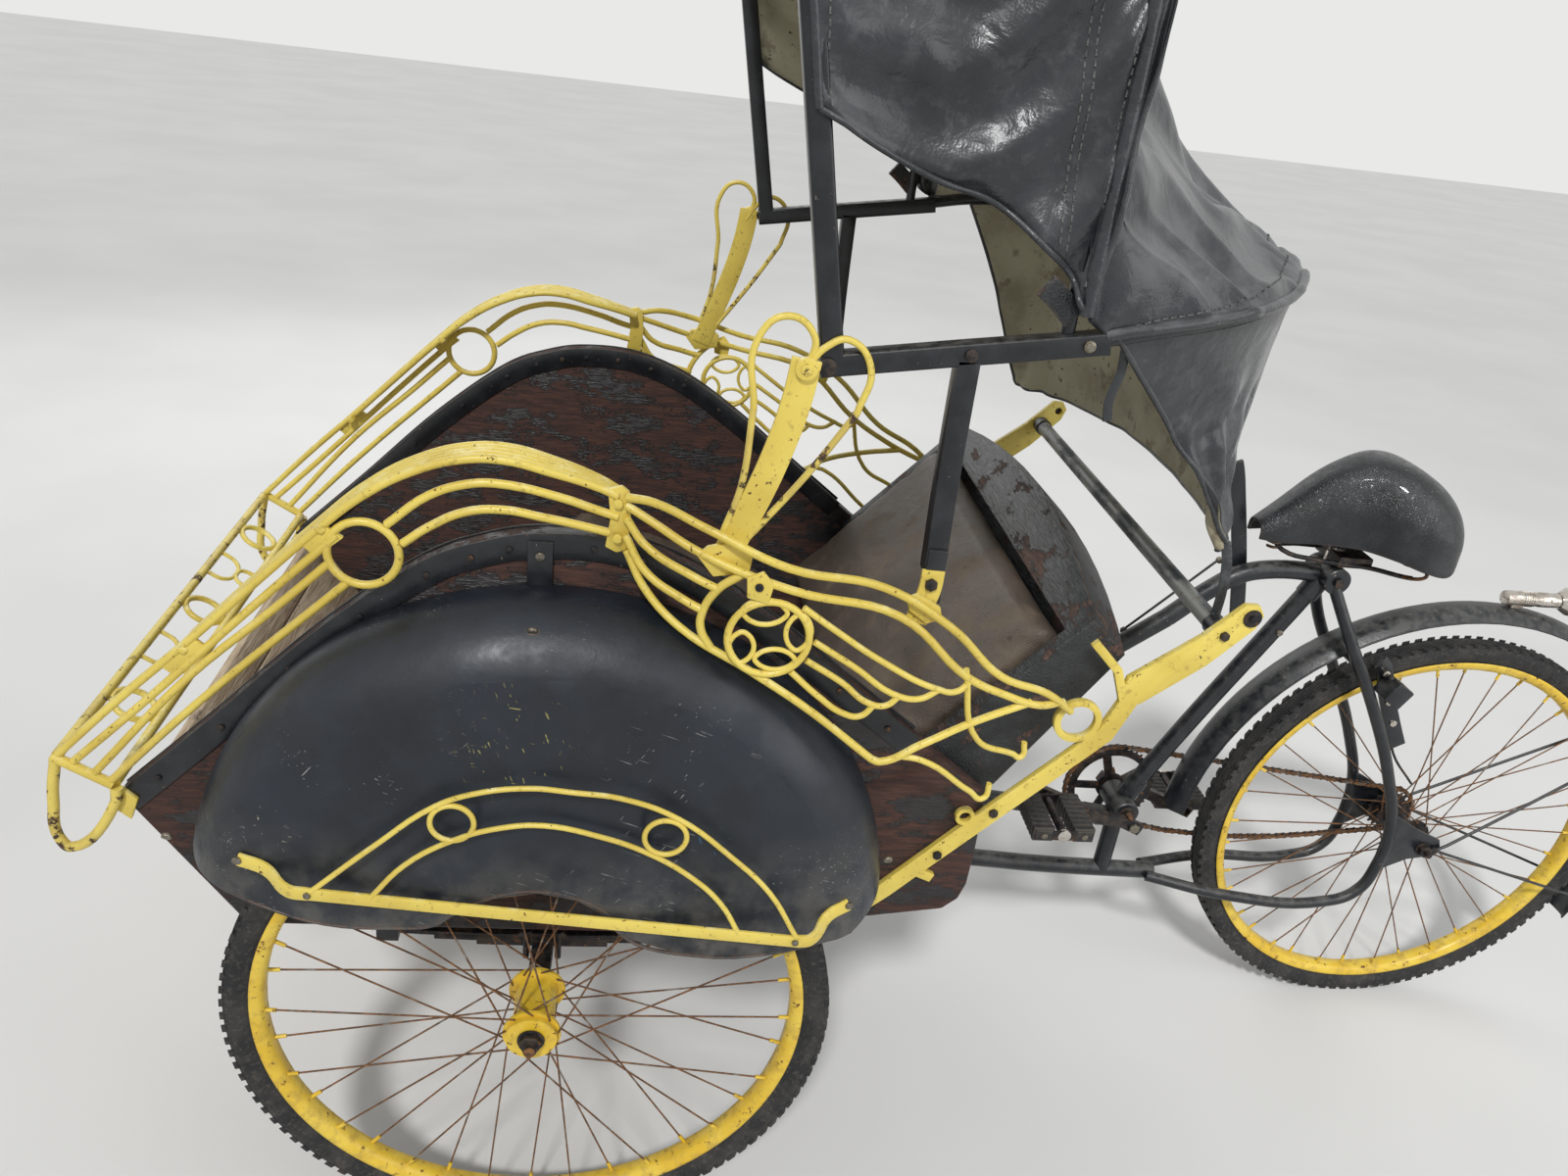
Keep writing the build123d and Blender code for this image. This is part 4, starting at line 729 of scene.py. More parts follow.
def flat_strip(keys, wide, thick, finish, turns=6):
    """Flat bar bent through its keys in the x-z plane, its broad side facing y."""
    bent(keys, "AUTO", turns)
    bpy.ops.object.convert(target="MESH")
    strip = bpy.context.object
    route = [corner.co.copy() for corner in strip.data.vertices]
    half = []
    for k in range(len(route)):
        run = (route[min(k + 1, len(route) - 1)] - route[max(k - 1, 0)]).normalized()
        half.append(run.cross(Vector((0, 1, 0))).normalized() * wide / 2000)
    editing()
    bpy.ops.mesh.extrude_region_move(TRANSFORM_OT_translate={"value": (0, 0, 0)})
    bpy.ops.object.mode_set(mode="OBJECT")
    count = len(route)
    for k, (place, reach) in enumerate(zip(route, half)):
        strip.data.vertices[k].co = place - reach
        strip.data.vertices[count + k].co = place + reach
    applied(strip, "SOLIDIFY", thickness=thick / 1000, offset=0.0)
    editing()
    facing_out()
    applied(strip, "BEVEL", width=1.0 / 1000, segments=2, limit_method="ANGLE")
    return smooth_by_angle(painted(strip, finish))


def make_arch():
    """The left arch: five rods side by side as a rail, with two runs under it and a ring where they part."""
    parts = []
    for k in range(5):
        keys = BAND if k < 2 else BAND[:-2]
        keys = [(x, table_at(SIDE_PLAN, x) - k * table_at(BAND_SPREAD, x), z) for x, z in keys]
        parts.append(rod(keys, 9, YELLOW))
    runs = [
        [(1894, 651), (1820, 724), (1670, 877), (1604, 942)],
        [(1877, 634), (1764, 766), (1671, 854), (1614, 910)],
        [(1861, 625), (1759, 733), (1597, 889)],
        [(1556, 957), (1514, 992), (1477, 1007), (1448, 1010), (1385, 1000), (1347, 989), (1326, 984)],
        [(1541, 937), (1514, 958), (1478, 977), (1440, 982), (1403, 977), (1365, 971), (1334, 965)]]
    for keys in runs:
        parts.append(rod(on_side(keys), 9, YELLOW))
    parts.append(ring(1580, table_at(SIDE_PLAN, 1580), 923, 40, 9, YELLOW))
    for outline in ([(1790, 778), (1754, 814), (1742, 804), (1778, 768)],
                    [(1640, 930), (1616, 952), (1598, 940), (1626, 916)],
                    [(1338, 1014), (1324, 1018), (1316, 1012), (1313, 980), (1316, 948), (1326, 944),
                     (1338, 950), (1334, 982)]):
        parts.append(side_plate(outline, table_at(SIDE_PLAN, outline[0][0]) - 3, 6, YELLOW))
    for x, z in ((1327, 1000), (1326, 962)):
        parts.append(knob(x, table_at(SIDE_PLAN, x) + 4.5, z, 5, 4, YELLOW, 14))
    # Welds run over the rods where they cross the two ties
    for k in range(5):
        for x, z in ((1766, 800), (1620, 948)):
            y = table_at(SIDE_PLAN, x) - k * table_at(BAND_SPREAD, x)
            parts.append(knob(x, y, z, 6.2, 10, YELLOW, 10, (0, 45, 0), 2.5))
    foot = [(1846, 572), (1866, 590), (1864, 612), (1850, 614), (1836, 600)]
    parts.append(side_plate(foot, 365.3, 6.4, YELLOW))
    parts.append(rod([(1915, 375, 657), (1857, 375, 622)], 12, YELLOW, straight=True))
    parts.append(rod([(1912, 375, 655), (1922, 375, 600), (1921, 375, 541), (1912, 375, 534),
                      (1857, 375, 600), (1854, 375, 618)], 12, WORN_YELLOW, turns=8))
    return joined("left_arch_ironwork", parts)


def make_armrest():
    """The left armrest: strands that fall in waves from the arch to the lug, with wings and a flower."""
    strands = [
        [(1318, 1008), (1292, 1010), (1237, 997), (1154, 970), (1056, 954), (979, 912), (905, 844),
         (840, 813), (798, 778)],
        [(1318, 999), (1292, 989), (1242, 970), (1149, 946), (1035, 922), (947, 848), (892, 818), (850, 801),
         (812, 793)],
        [(1318, 985), (1298, 962), (1247, 942), (1222, 934)],
        [(1318, 966), (1296, 933), (1254, 913), (1232, 906)],
        [(1316, 950), (1295, 913), (1257, 881), (1181, 847), (1118, 808), (1038, 745)],
        [(1038, 745), (1028, 742), (986, 765), (931, 787), (860, 806)],
        [(1200, 955), (1222, 934), (1236, 902), (1235, 884), (1224, 866)]]
    parts = [rod(on_side(keys), 9, YELLOW, turns=7) for keys in strands]
    wings = [
        [(1135, 927), (1097, 901), (1045, 868), (981, 837), (955, 831), (941, 843)],
        [(1119, 888), (1075, 861), (1020, 826), (996, 824), (978, 835)],
        [(1125, 866), (1083, 840), (1053, 817), (1033, 814), (1020, 826)],
        [(1140, 852), (1107, 823), (1078, 803), (1059, 800), (1045, 815)]]
    parts += [rod(on_side(keys), 7, YELLOW, turns=7) for keys in wings]
    y = table_at(SIDE_PLAN, 1167)
    parts.append(ring(1167, y, 889, 46, 8, YELLOW))
    for x, z, wide, high in ((1174, 919, 23, 14), (1137, 898, 13, 21), (1158, 865, 21, 12),
                             (1194, 877, 13, 18)):
        petal = []
        for k in range(12):
            c, s = math.cos(math.pi * k / 6), math.sin(math.pi * k / 6)
            if wide > high:
                petal.append((x + wide * c, y, z + high * math.copysign(abs(s) ** 1.3, s)))
            else:
                petal.append((x + wide * math.copysign(abs(c) ** 1.3, c), y, z + high * s))
        parts.append(rod(petal, 5.5, YELLOW, closed=True, turns=3))
    for keys in ([(950, 858), (918, 764), (868, 738), (856, 732), (856, 752)],
                 [(1010, 750), (982, 745), (913, 693), (893, 680), (889, 700)]):
        parts.append(rod(on_side(keys), 7, YELLOW, turns=7))
    parts.append(flat_strip([(1014, 430, 910), (1010, 428, 926), (1004, 424.2, 944), (1003, 423.8, 968)],
                            24, 5, YELLOW))
    parts.append(knob(1004, 428, 953, 7, 6, DARK_STEEL, 6))
    parts.append(side_plate([(1024, 926), (1030, 940), (1018, 946), (992, 932), (988, 918), (1004, 912)],
                            432, 5, YELLOW))
    # A clip with a screw hole, bolted on the highest strand
    parts.append(side_plate([(1196, 958), (1194, 936), (1172, 930), (1168, 952), (1180, 966)],
                            446, 4, YELLOW))
    parts.append(knob(1183, 451, 949, 4.5, 3, DARK_STEEL, 12))
    leaf = [(1220, 421, 958), (1206, 421, 998), (1192, 423.8, 1036), (1178, 423.8, 1080), (1166, 423.8, 1130),
            (1160, 423.8, 1176)]
    parts.append(flat_strip(leaf, 29, 5, YELLOW))
    parts.append(side_plate([(1246, 968), (1236, 978), (1208, 986), (1190, 972), (1192, 952), (1228, 946)],
                            420, 7, YELLOW))
    parts.append(knob(1160, 428.5, 1168, 11, 7, YELLOW, 20))
    parts.append(knob(1160, 432, 1168, 6, 4, WORN_YELLOW, 6))
    loops = [
        [(1222, 994), (1209, 1045), (1205, 1124), (1208, 1190), (1184, 1214), (1156, 1198), (1158, 1168)],
        [(1164, 1160), (1142, 1190), (1123, 1197), (1099, 1172), (1106, 1127), (1146, 1062), (1196, 990)]]
    for k, keys in enumerate(loops):
        keys = [(x, 421 if z < 1000 else 423.8, z) for x, z in keys]
        cut = 3
        low, high = (keys[:cut], keys[cut - 1:]) if k == 0 else (keys[-cut:], keys[:-cut + 1])
        parts.append(rod(high, 7, YELLOW, turns=8))
        parts.append(rod(low, 7, WORN_YELLOW, turns=8))
    return joined("left_armrest_ironwork", parts)


arch = placed(make_arch(), "cabin", "left_arch")
mirrored(arch, "right_arch_ironwork", "cabin", "right_arch")
armrest = placed(make_armrest(), "cabin", "left_armrest")
mirrored(armrest, "right_armrest_ironwork", "cabin", "right_armrest")


def make_fender_trim():
    """Flat bar and round rod bent to two arches, with a ring at each shoulder."""
    y = 503
    parts = [flat_strip([(1630, y, 589), (1363, y, 563), (1096, y, 538)], 15, 4, YELLOW)]
    arches = [
        [(1620, 590), (1550, 656), (1492, 706), (1455, 723), (1398, 733), (1354, 730), (1302, 724),
         (1246, 702), (1186, 654), (1140, 607), (1104, 546)],
        [(1560, 584), (1522, 631), (1474, 664), (1426, 682), (1383, 687), (1328, 676), (1277, 657),
         (1224, 623), (1191, 589), (1168, 548)]]
    for keys in arches:
        parts.append(rod([(x, y, z) for x, z in keys], 6, YELLOW))
    for x, z in ((1475, 686), (1257, 677)):
        parts.append(ring(x, y, z, 25, 6, YELLOW))
    return parts


FENDER_SKIN = BVHTree.FromObject(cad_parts["left_fender"], bpy.context.evaluated_depsgraph_get())


def fender_face(x, z):
    """How far out the fender's skin stands, read off its solid."""
    place = FENDER_SKIN.ray_cast(at(x, 700, z), Vector((0, -1, 0)))[0]
    return place.y * 1000 if place else 480


trim_parts = make_fender_trim()
for (x0, z0), (x1, z1), (x2, z2) in (((1622, 588), (1642, 590), (1700, 604)),
                                     ((1104, 539), (1086, 540), (1040, 560))):
    middle = ((x1 + x2) / 2, fender_face((x1 + x2) / 2, (z1 + z2) / 2) + 3.4, (z1 + z2) / 2)
    tip = (x2, fender_face(x2, z2) + 3.4, z2)
    trim_parts.append(flat_strip([(x0, 503, z0), (x1, 501, z1), middle, tip], 16, 4, YELLOW))
    trim_parts.append(knob(x2, tip[1] + 3, z2, 5, 4, SCREW, 14, (78, 0, 0)))
    trim_parts.append(knob(x0, 506, z0, 4, 3, SCREW, 14))
trim = placed(joined("left_fender_trim_ironwork", trim_parts), "cabin", "left_fender_trim")
mirrored(trim, "right_fender_trim_ironwork", "cabin", "right_fender_trim")


def make_bumper():
    """Two bars with rings welded between them, and bent struts."""
    reach = 370.5
    parts = [rod([(1912, -reach, 655), (1912, reach, 655)], 12, WORN_YELLOW, straight=True),
             rod([(1857, -reach, 622), (1857, reach, 622)], 12, YELLOW, straight=True)]
    lean = math.degrees(math.atan2(33, 55))
    for y in (-240, 0, 240):
        parts.append(ring(1884.5, y, 638.5, 29, 8, YELLOW, (0, -lean, 0)))
    for y in (-120, 120):
        out = math.copysign(1, y)
        parts.append(rod([(1908, y - 32 * out, 653), (1889, y - 28 * out, 641), (1880, y, 636),
                          (1889, y + 28 * out, 641), (1908, y + 32 * out, 653)], 6, YELLOW))
        parts.append(rod([(1861, y - 20 * out, 624), (1876, y - 14 * out, 634), (1879, y, 636),
                          (1876, y + 14 * out, 634), (1861, y + 20 * out, 624)], 6, YELLOW))
    return joined("bumper_ironwork", parts)


placed(make_bumper(), "cabin", "bumper")


# Lug bars, which carry the push bar
for out, side_name in ((1, "left"), (-1, "right")):
    lug = dressed(side_name + "_lug_bar", YELLOW, 1.4)
    bolt = knob(613, out * 373.5, 910, 11, 3, DARK_STEEL, 20)
    eye = knob(613, out * 375.5, 910, 5, 5, DARK_STEEL, 6)
    heads = [knob(x, out * 375, z, 6, 5, DARK_STEEL, 6) for x, z in ((640, 886), (918, 562), (860, 628))]
    placed(joined(side_name + "_lug_bar_iron", [lug, bolt, eye] + heads), "cabin", side_name + "_lug_bar")


def make_push_bar():
    """A round tube between the lug bars, with a collar at each end and its paint rubbed off."""
    parts = [rod([(640, -365, 886), (640, 365, 886)], 22, GREY, straight=True, ring=6)]
    for y in (-352, 352):
        parts.append(turned([(11, -9), (13.2, -9), (13.2, 9), (11, 9)], 640, y, 886, BLACK, 24))
    return joined("push_tube", parts)


placed(make_push_bar(), "cabin", "push_bar")


# Wheels

def make_tyre(name, x, y, body, node):
    """A roadster tyre: wired edges in the rim, smooth walls, and ribs round the tread with cuts across."""
    edge, top = RIM_EDGE_R, TYRE_R
    walls = [(edge - 8, -12), (edge + 2, -12.2), (edge + 7, -15.4), (edge + 14, -18.4), (edge + 20, -18.8)]
    tread = []
    for k in range(9):
        across = -15.2 + 3.8 * k
        crown = top - 0.2 - (across / 16.0) ** 2 * 5.2
        if k:
            tread.append((crown - 1.9, across - 2.3))
            tread.append((crown - 1.9, across - 1.5))
        tread.append((crown, across - 1.1))
        tread.append((crown, across + 1.1))
    section = walls + tread + [(radius, -across) for radius, across in reversed(walls)]
    tyre = turned(section, x, y, AXLE_Z, TYRE, 120, 50)
    cuts = []
    blocks = 110
    for k in range(blocks):
        turn = 2 * math.pi * k / blocks
        c, s = math.cos(turn), math.sin(turn)
        for side in (-1, 1):
            cuts.append((x + 352.2 * c, y + side * 14.4, AXLE_Z + 352.2 * s, turn))
    lugs = studs(cuts, y)
    return placed(joined(name, [tyre, lugs]), body, node)


def studs(cuts, y):
    """Shoulder blocks of the tread: one block, copied round the tyre."""
    off()
    bpy.ops.mesh.primitive_cube_add(size=1, location=(0, 0, 0))
    first = bpy.context.object
    corners = [corner.co.copy() for corner in first.data.vertices]
    faces = [list(face.vertices) for face in first.data.polygons]
    points, sides = [], []
    for cx, cy, cz, turn in cuts:
        c, s = math.cos(turn), math.sin(turn)
        base = len(points)
        for corner in corners:
            slant = 5 if cy > y else -5
            out, across, along = corner.z * 5.2, corner.y * 5.6, corner.x * 11.5 + corner.y * slant
            points.append(at(cx + out * c - along * s, cy + across, cz + out * s + along * c))
        sides += [[base + k for k in face] for face in faces]
    first.data.clear_geometry()
    first.data.from_pydata(points, [], sides)
    return painted(first, TYRE)


def make_rim(name, x, y, low_flange, high_flange, hub_r, body, node):
    """A Westwood rim rolled from strip, its spokes laced three-cross, with a nipple at the foot of each."""
    edge = RIM_EDGE_R
    section = [(edge - 15, -9), (edge - 15.6, 0), (edge - 15, 9), (edge - 10, 13.2), (edge - 4, 15),
               (edge - 0.5, 15), (edge, 14.2), (edge - 0.8, 12.7), (edge - 5, 12.2), (edge - 12, 9),
               (edge - 12.6, 0), (edge - 12, -9), (edge - 5, -12.2), (edge - 0.8, -12.7), (edge, -14.2),
               (edge - 0.5, -15), (edge - 4, -15), (edge - 10, -13.2)]
    parts = [turned(section, x, y, AXLE_Z, RIM, 120, 60)]
    spokes = 36
    for k in range(spokes):
        at_rim = math.tau * k / spokes
        out = 1 if k % 2 == 0 else -1
        lead = math.radians(52 if k % 4 < 2 else -52)
        flange = high_flange if out > 0 else low_flange
        foot_y = y + flange + out * (3.8 if k % 4 < 2 else -3.8)
        foot = (x + hub_r * math.cos(at_rim + lead), foot_y, AXLE_Z + hub_r * math.sin(at_rim + lead))
        tip = (x + (edge - 15.2) * math.cos(at_rim), y + out * 4.5, AXLE_Z + (edge - 15.2) * math.sin(at_rim))
        parts.append(rod([foot, tip], 2.3, RUST, straight=True, ring=1))
        sunk = [t + (f - t) * 0.045 for f, t in zip(foot, tip)]
        parts.append(rod([sunk, tip], 5, RIM, straight=True, ring=1))
    return placed(joined(name, parts), body, node)


for side_name, out in (("left", 1), ("right", -1)):
    wheel_y = out * TRACK_HALF
    make_tyre(side_name + "_tyre_rubber", WHEELBASE, wheel_y, side_name + "_wheel", side_name + "_tyre")
    make_rim(side_name + "_rim_spoked", WHEELBASE, wheel_y, -34, 34, 31, side_name + "_wheel",
             side_name + "_rim")
    hub_section = [(8.8, -44), (26, -44), (26, -36), (34, -36), (34, -32), (26, -32), (24.5, -24), (24.5, 24),
                   (26, 32), (34, 32), (34, 36), (27, 36), (30, 39.5), (30, 44), (8.8, 44)]
    hub_section = [(radius, out * across) for radius, across in hub_section]
    hub = turned(hub_section, WHEELBASE, wheel_y, AXLE_Z, RIM, 48, 30)
    placed(joined(side_name + "_hub_barrel", [hub]), side_name + "_wheel", side_name + "_hub")

make_tyre("rear_tyre_rubber", 0, 0, "rear_wheel", "rear_tyre")
make_rim("rear_rim_spoked", 0, 0, -27, 27, 27, "rear_wheel", "rear_rim")


def make_rear_hub():
    """Steel hub with thin flanges, and a toothed sprocket on its right."""
    section = [(5.6, -33), (17, -33), (17, -29), (30, -28.6), (30, -25.4), (17, -25), (15, -16), (15, 16),
               (17, 25), (30, 25.4), (30, 28.6), (17, 29), (17, 33), (5.6, 33)]
    parts = [turned(section, 0, 0, AXLE_Z, DARK_STEEL, 40, 30),
             turned([(5.6, -46.5), (19, -46.5), (20, -42), (19, -33), (5.6, -33)],
                    0, 0, AXLE_Z, DARK_STEEL, 32, 30),
             toothed(0, AXLE_Z, 33, 20, CHAIN_Y, 3)]
    return joined("rear_hub_steel", parts)


def toothed(x, z, root, teeth, y, thick):
    """A toothed disc in the x-z plane: a tooth to each link of chain."""
    outline = []
    for k in range(teeth):
        for share, radius in ((0.0, root), (0.22, root), (0.38, root + 5), (0.62, root + 5), (0.78, root)):
            turn = 2 * math.pi * (k + share) / teeth
            outline.append((x + radius * math.cos(turn), z + radius * math.sin(turn)))
    return side_plate(outline, y - thick / 2, thick, DARK_STEEL)


placed(make_rear_hub(), "rear_wheel", "rear_hub")


# Bicycle half
TUBES = [  # diameter, then the route in x and z
    (28, [(292, 808), (341, 712), (443, 512), (505, 380)]),
    (28, [(276, 807), (382, 807), (425, 795), (459, 771), (515, 718), (1000, 330)]),
    (28, [(415, 243), (622, 250), (730, 258), (1000, 270)]),
    (28, [(505, 350), (647, 369), (900, 392)]),
    (28, [(505, 380), (505, 248)])]


def make_frame():
    """Lugged tubes, round as drawn steel is, with wrapped joints and flattened ends at the axle."""
    parts = []
    for size, route in TUBES:
        keys = [(x, 0, z) for x, z in route]
        if len(keys) > 4:
            parts.append(rod(keys[:5], size, FRAME_BLACK, ring=6, turns=8))
            parts.append(rod(keys[4:], size, FRAME_BLACK, ring=6, straight=True))
        else:
            parts.append(rod(keys, size, FRAME_BLACK, ring=6, turns=8, straight=len(keys) == 2))
    for out in (1, -1):
        stay = [(290, 24, 804), (255, 48, 734), (181, 60, 618), (108, 60, 490), (70, 60, 395), (66, 60, 320),
                (84, 60, 262), (135, 60, 238), (300, 52, 238), (430, 16, 244)]
        parts.append(rod([(x, out * y, z) for x, y, z in stay], 18, FRAME_BLACK, ring=5, turns=7))
        end = [(77, 422), (52, 410), (20, 392), (-24, 374), (-31, 357), (-26, 342), (20, 333), (50, 316),
               (74, 300)]
        parts.append(side_plate(end, out * 60 - 2.5, 5, FRAME_BLACK))
    cluster = turned([(1, -33), (18.5, -33), (20, -31.5), (20, 31.5), (18.5, 33), (1, 33)],
                     288, 0, 808, FRAME_BLACK, 32)
    shell = turned([(9.5, -34), (19, -34), (21, -32), (21, 32), (19, 34), (9.5, 34)],
                   505, 0, 380, FRAME_BLACK, 36)
    parts += [cluster, shell, rod([(222, -57, 682), (222, 57, 682)], 12, FRAME_BLACK, straight=True)]
    off()
    bpy.ops.mesh.primitive_cylinder_add(vertices=40, radius=0.023, depth=0.170, location=at(1000, 0, 323))
    settle()
    head = bpy.context.object
    editing()
    bpy.ops.mesh.bevel(offset=0.002, segments=2)
    bpy.ops.object.mode_set(mode="OBJECT")
    parts.append(smooth_by_angle(painted(head, FRAME_BLACK)))
    # Lugs wrap the tubes where they meet
    for x0, z0, x1, z1, size in ((1000, 330, 940, 378, 34), (1000, 270, 930, 266, 34),
                                 (505, 380, 484, 425, 33), (505, 350, 560, 358, 33),
                                 (292, 808, 310, 770, 33)):
        parts.append(rod([(x0, 0, z0), (x1, 0, z1)], size, FRAME_BLACK, straight=True, ring=6))
    # Clip, cotter and pump pegs that stand on the tubes
    parts.append(knob(341, 16, 712, 5, 6, SCREW, 12))
    parts.append(knob(505, 34, 380, 14, 3, DARK_STEEL, 24))
    for y in (-26, 26):
        parts.append(knob(288, math.copysign(35.5, y), 808, 8, 5, DARK_STEEL, 6))
    return joined("frame_tubes", parts)


placed(make_frame(), "rear_frame", "main_frame")


def make_rear_axle():
    parts = [rod([(0, -82, AXLE_Z), (0, 82, AXLE_Z)], 9.5, DARK_STEEL, straight=True, ring=4)]
    for out in (1, -1):
        parts.append(knob(0, out * 68, AXLE_Z, 11, 10, DARK_STEEL, 6))
        parts.append(knob(0, out * 63.5, AXLE_Z, 13, 1.6, DARK_STEEL, 24, soft=0.3))
    parts.append(knob(0, 46, AXLE_Z, 9, 22, DARK_STEEL, 20))
    parts.append(knob(0, -52, AXLE_Z, 9, 8, DARK_STEEL, 20))
    return joined("rear_axle_nuts", parts)


placed(make_rear_axle(), "rear_frame", "rear_axle")


def make_mudguard():
    """A rolled steel guard with a turned edge, held by pairs of wire stays."""
    radius, half, start, sweep = 414, 30, 3, 202
    turn = math.radians(start)
    profile = []
    for k in range(9):
        across = -half + 60 * k / 8
        r = radius - 16 * (abs(across) / half) ** 2.6
        profile.append((GUARD_X + r * math.cos(turn), across, GUARD_Z + r * math.sin(turn)))
    guard = loop_of(profile)
    editing("DESELECT")
    bpy.ops.mesh.select_mode(type="EDGE")
    bpy.ops.object.mode_set(mode="OBJECT")
    for edge in guard.data.edges:
        edge.select = set(edge.vertices) == {0, len(profile) - 1}
    bpy.ops.object.mode_set(mode="EDIT")
    bpy.ops.mesh.delete(type="EDGE")
    bpy.ops.mesh.select_all(action="SELECT")
    bpy.ops.mesh.spin(steps=60, angle=math.radians(sweep), center=at(GUARD_X, 0, GUARD_Z), axis=(0, 1, 0))
    bpy.ops.mesh.select_all(action="SELECT")
    bpy.ops.mesh.remove_doubles(threshold=1e-5)
    facing_out()
    applied(guard, "SOLIDIFY", thickness=0.0016, offset=0.0)
    smooth_by_angle(painted(guard, FRAME_BLACK), 50)
    parts = [guard]
    edge_r = radius - 16
    for out in (1, -1):
        keys = []
        for k in range(25):
            turn = math.radians(start + sweep * k / 24)
            keys.append((GUARD_X + edge_r * math.cos(turn), out * half, GUARD_Z + edge_r * math.sin(turn)))
        parts.append(rod(keys, 3.6, FRAME_BLACK, ring=1, turns=2))
        for angle in (150, 198):
            turn = math.radians(angle)
            tip = (GUARD_X + 406 * math.cos(turn), out * 31, GUARD_Z + 406 * math.sin(turn))
            knee = (-38, out * 65.3, AXLE_Z - 18 * math.tan(turn))
            parts.append(rod([(-20, out * 65.3, AXLE_Z), knee, tip], 5, FRAME_BLACK, ring=2, turns=2))
            parts.append(knob(*tip, 5, 5, SCREW, 12))
        parts.append(knob(-16, out * 66, AXLE_Z, 8, 6, DARK_STEEL, 6))
    return joined("mudguard_steel", parts)


placed(make_mudguard(), "rear_frame", "mudguard")


def copies(first, places, name):
    """One small part laid again and again: each place is an origin and the three ways its own axes point."""
    points, faces = [], []
    corners = [corner.co.copy() for corner in first.data.vertices]
    sides = [list(face.vertices) for face in first.data.polygons]
    for origin, ways in places:
        base = len(points)
        for corner in corners:
            points.append(origin + ways[0] * corner.x + ways[1] * corner.y + ways[2] * corner.z)
        faces += [[base + k for k in face] for face in sides]
    finish = first.data.materials[0]
    first.data.clear_geometry()
    first.data.from_pydata(points, [], faces)
    painted(first, finish)
    first.name = name
    return smooth_by_angle(first, 35)


def along_route(route, step, closed=True):
    """Places a step apart along a route of points, with the way the route runs there."""
    points = [at(*p) for p in route]
    if closed:
        points.append(points[0])
    lengths = [(b - a).length for a, b in zip(points, points[1:])]
    total = sum(lengths)
    count = max(1, round(total / (step / 1000)))
    found = []
    for k in range(count):
        want = total * k / count
        for a, b, long in zip(points, points[1:], lengths):
            if want <= long:
                found.append((a + (b - a) * (want / long), (b - a).normalized()))
                break
            want -= long
    return found


def make_chain():
    """A bush roller chain: pairs of waisted plates over rollers, dry and brown."""
    ring_r, sprocket_r = 76, 42
    rise = BRACKET_Z - AXLE_Z
    lean = math.degrees(math.atan2(rise, BRACKET_X))
    spread = math.degrees(math.asin((ring_r - sprocket_r) / math.hypot(BRACKET_X, rise)))
    loop = []
    for k in range(25):
        turn = math.radians(lean + 90 + spread - (k / 24) * (180 + 2 * spread))
        loop.append((BRACKET_X + ring_r * math.cos(turn), CHAIN_Y, BRACKET_Z + ring_r * math.sin(turn)))
    for x, z in ((430, 301), (390, 293), (320, 287), (260, 285), (190, 288), (130, 295)):
        loop.append((x, CHAIN_Y, z))
    for k in range(17):
        turn = math.radians(lean - 90 - spread - (k / 16) * (180 - 2 * spread))
        loop.append((sprocket_r * math.cos(turn), CHAIN_Y, AXLE_Z + sprocket_r * math.sin(turn)))
    places = along_route(loop, 12.7)
    side = Vector((0, 1, 0))
    laid = []
    for k, (spot, run) in enumerate(places):
        gap = 0.0033 if k % 2 else 0.0023
        for out in (1, -1):
            laid.append((spot + run * 0.00635 + side * gap * out, (run, side, run.cross(side))))
    off()
    bpy.ops.mesh.primitive_circle_add(vertices=12, radius=1, fill_type="NGON",
                                      rotation=(math.radians(90), 0, 0))
    settle()
    plate = bpy.context.object
    for corner in plate.data.vertices:
        waist = 0.0026 + 0.0014 * abs(corner.co.x)
        corner.co = (corner.co.x * 0.0095, -0.0005, corner.co.z * waist)
    editing()
    bpy.ops.mesh.extrude_region_move(TRANSFORM_OT_translate={"value": (0, 0.001, 0)})
    facing_out()
    plates = copies(painted(plate, RUST), laid, "plates")
    off()
    bpy.ops.mesh.primitive_cylinder_add(vertices=10, radius=0.0038, depth=0.0072,
                                        rotation=(math.radians(90), 0, 0))
    settle()
    rollers = copies(painted(bpy.context.object, DARK_STEEL),
                     [(spot, (run, side, run.cross(side))) for spot, run in places], "rollers")
    return joined("chain_links", [plates, rollers])


placed(make_chain(), "rear_frame", "chain")


def make_cranks():
    parts = [dressed("crank_arms", DARK_STEEL, 2.5, 25, 3)]
    for out in (1, -1):
        parts.append(knob(BRACKET_X, out * 69, BRACKET_Z, 9, 6, SCREW, 6))
        parts.append(knob(BRACKET_X + out * 8, out * 62, BRACKET_Z + 15, 4, 16, RUST, 12, (0, 24, 0)))
    return joined("crank_arms_forged", parts)


placed(make_cranks(), "cranks", "crank_arms")
ring_plate = dressed("chainring", DARK_STEEL, 0.5)
teeth = []
for k in range(CHAINRING_TEETH):
    turn = 2 * math.pi * k / CHAINRING_TEETH
    way = Vector((math.cos(turn), 0, math.sin(turn)))
    place = at(BRACKET_X, CHAIN_Y, BRACKET_Z) + way * 0.0715
    teeth.append((place, (way, Vector((0, 1, 0)), way.cross(Vector((0, 1, 0))))))
off()
bpy.ops.mesh.primitive_cone_add(vertices=4, radius1=0.0036, radius2=0.0014, depth=0.007,
                                rotation=(0, math.radians(90), 0))
settle()
for corner in bpy.context.object.data.vertices:
    corner.co.y *= 0.42
teeth = copies(painted(bpy.context.object, DARK_STEEL), teeth, "teeth")
placed(joined("chainring_toothed", [ring_plate, teeth]), "cranks", "chainring")


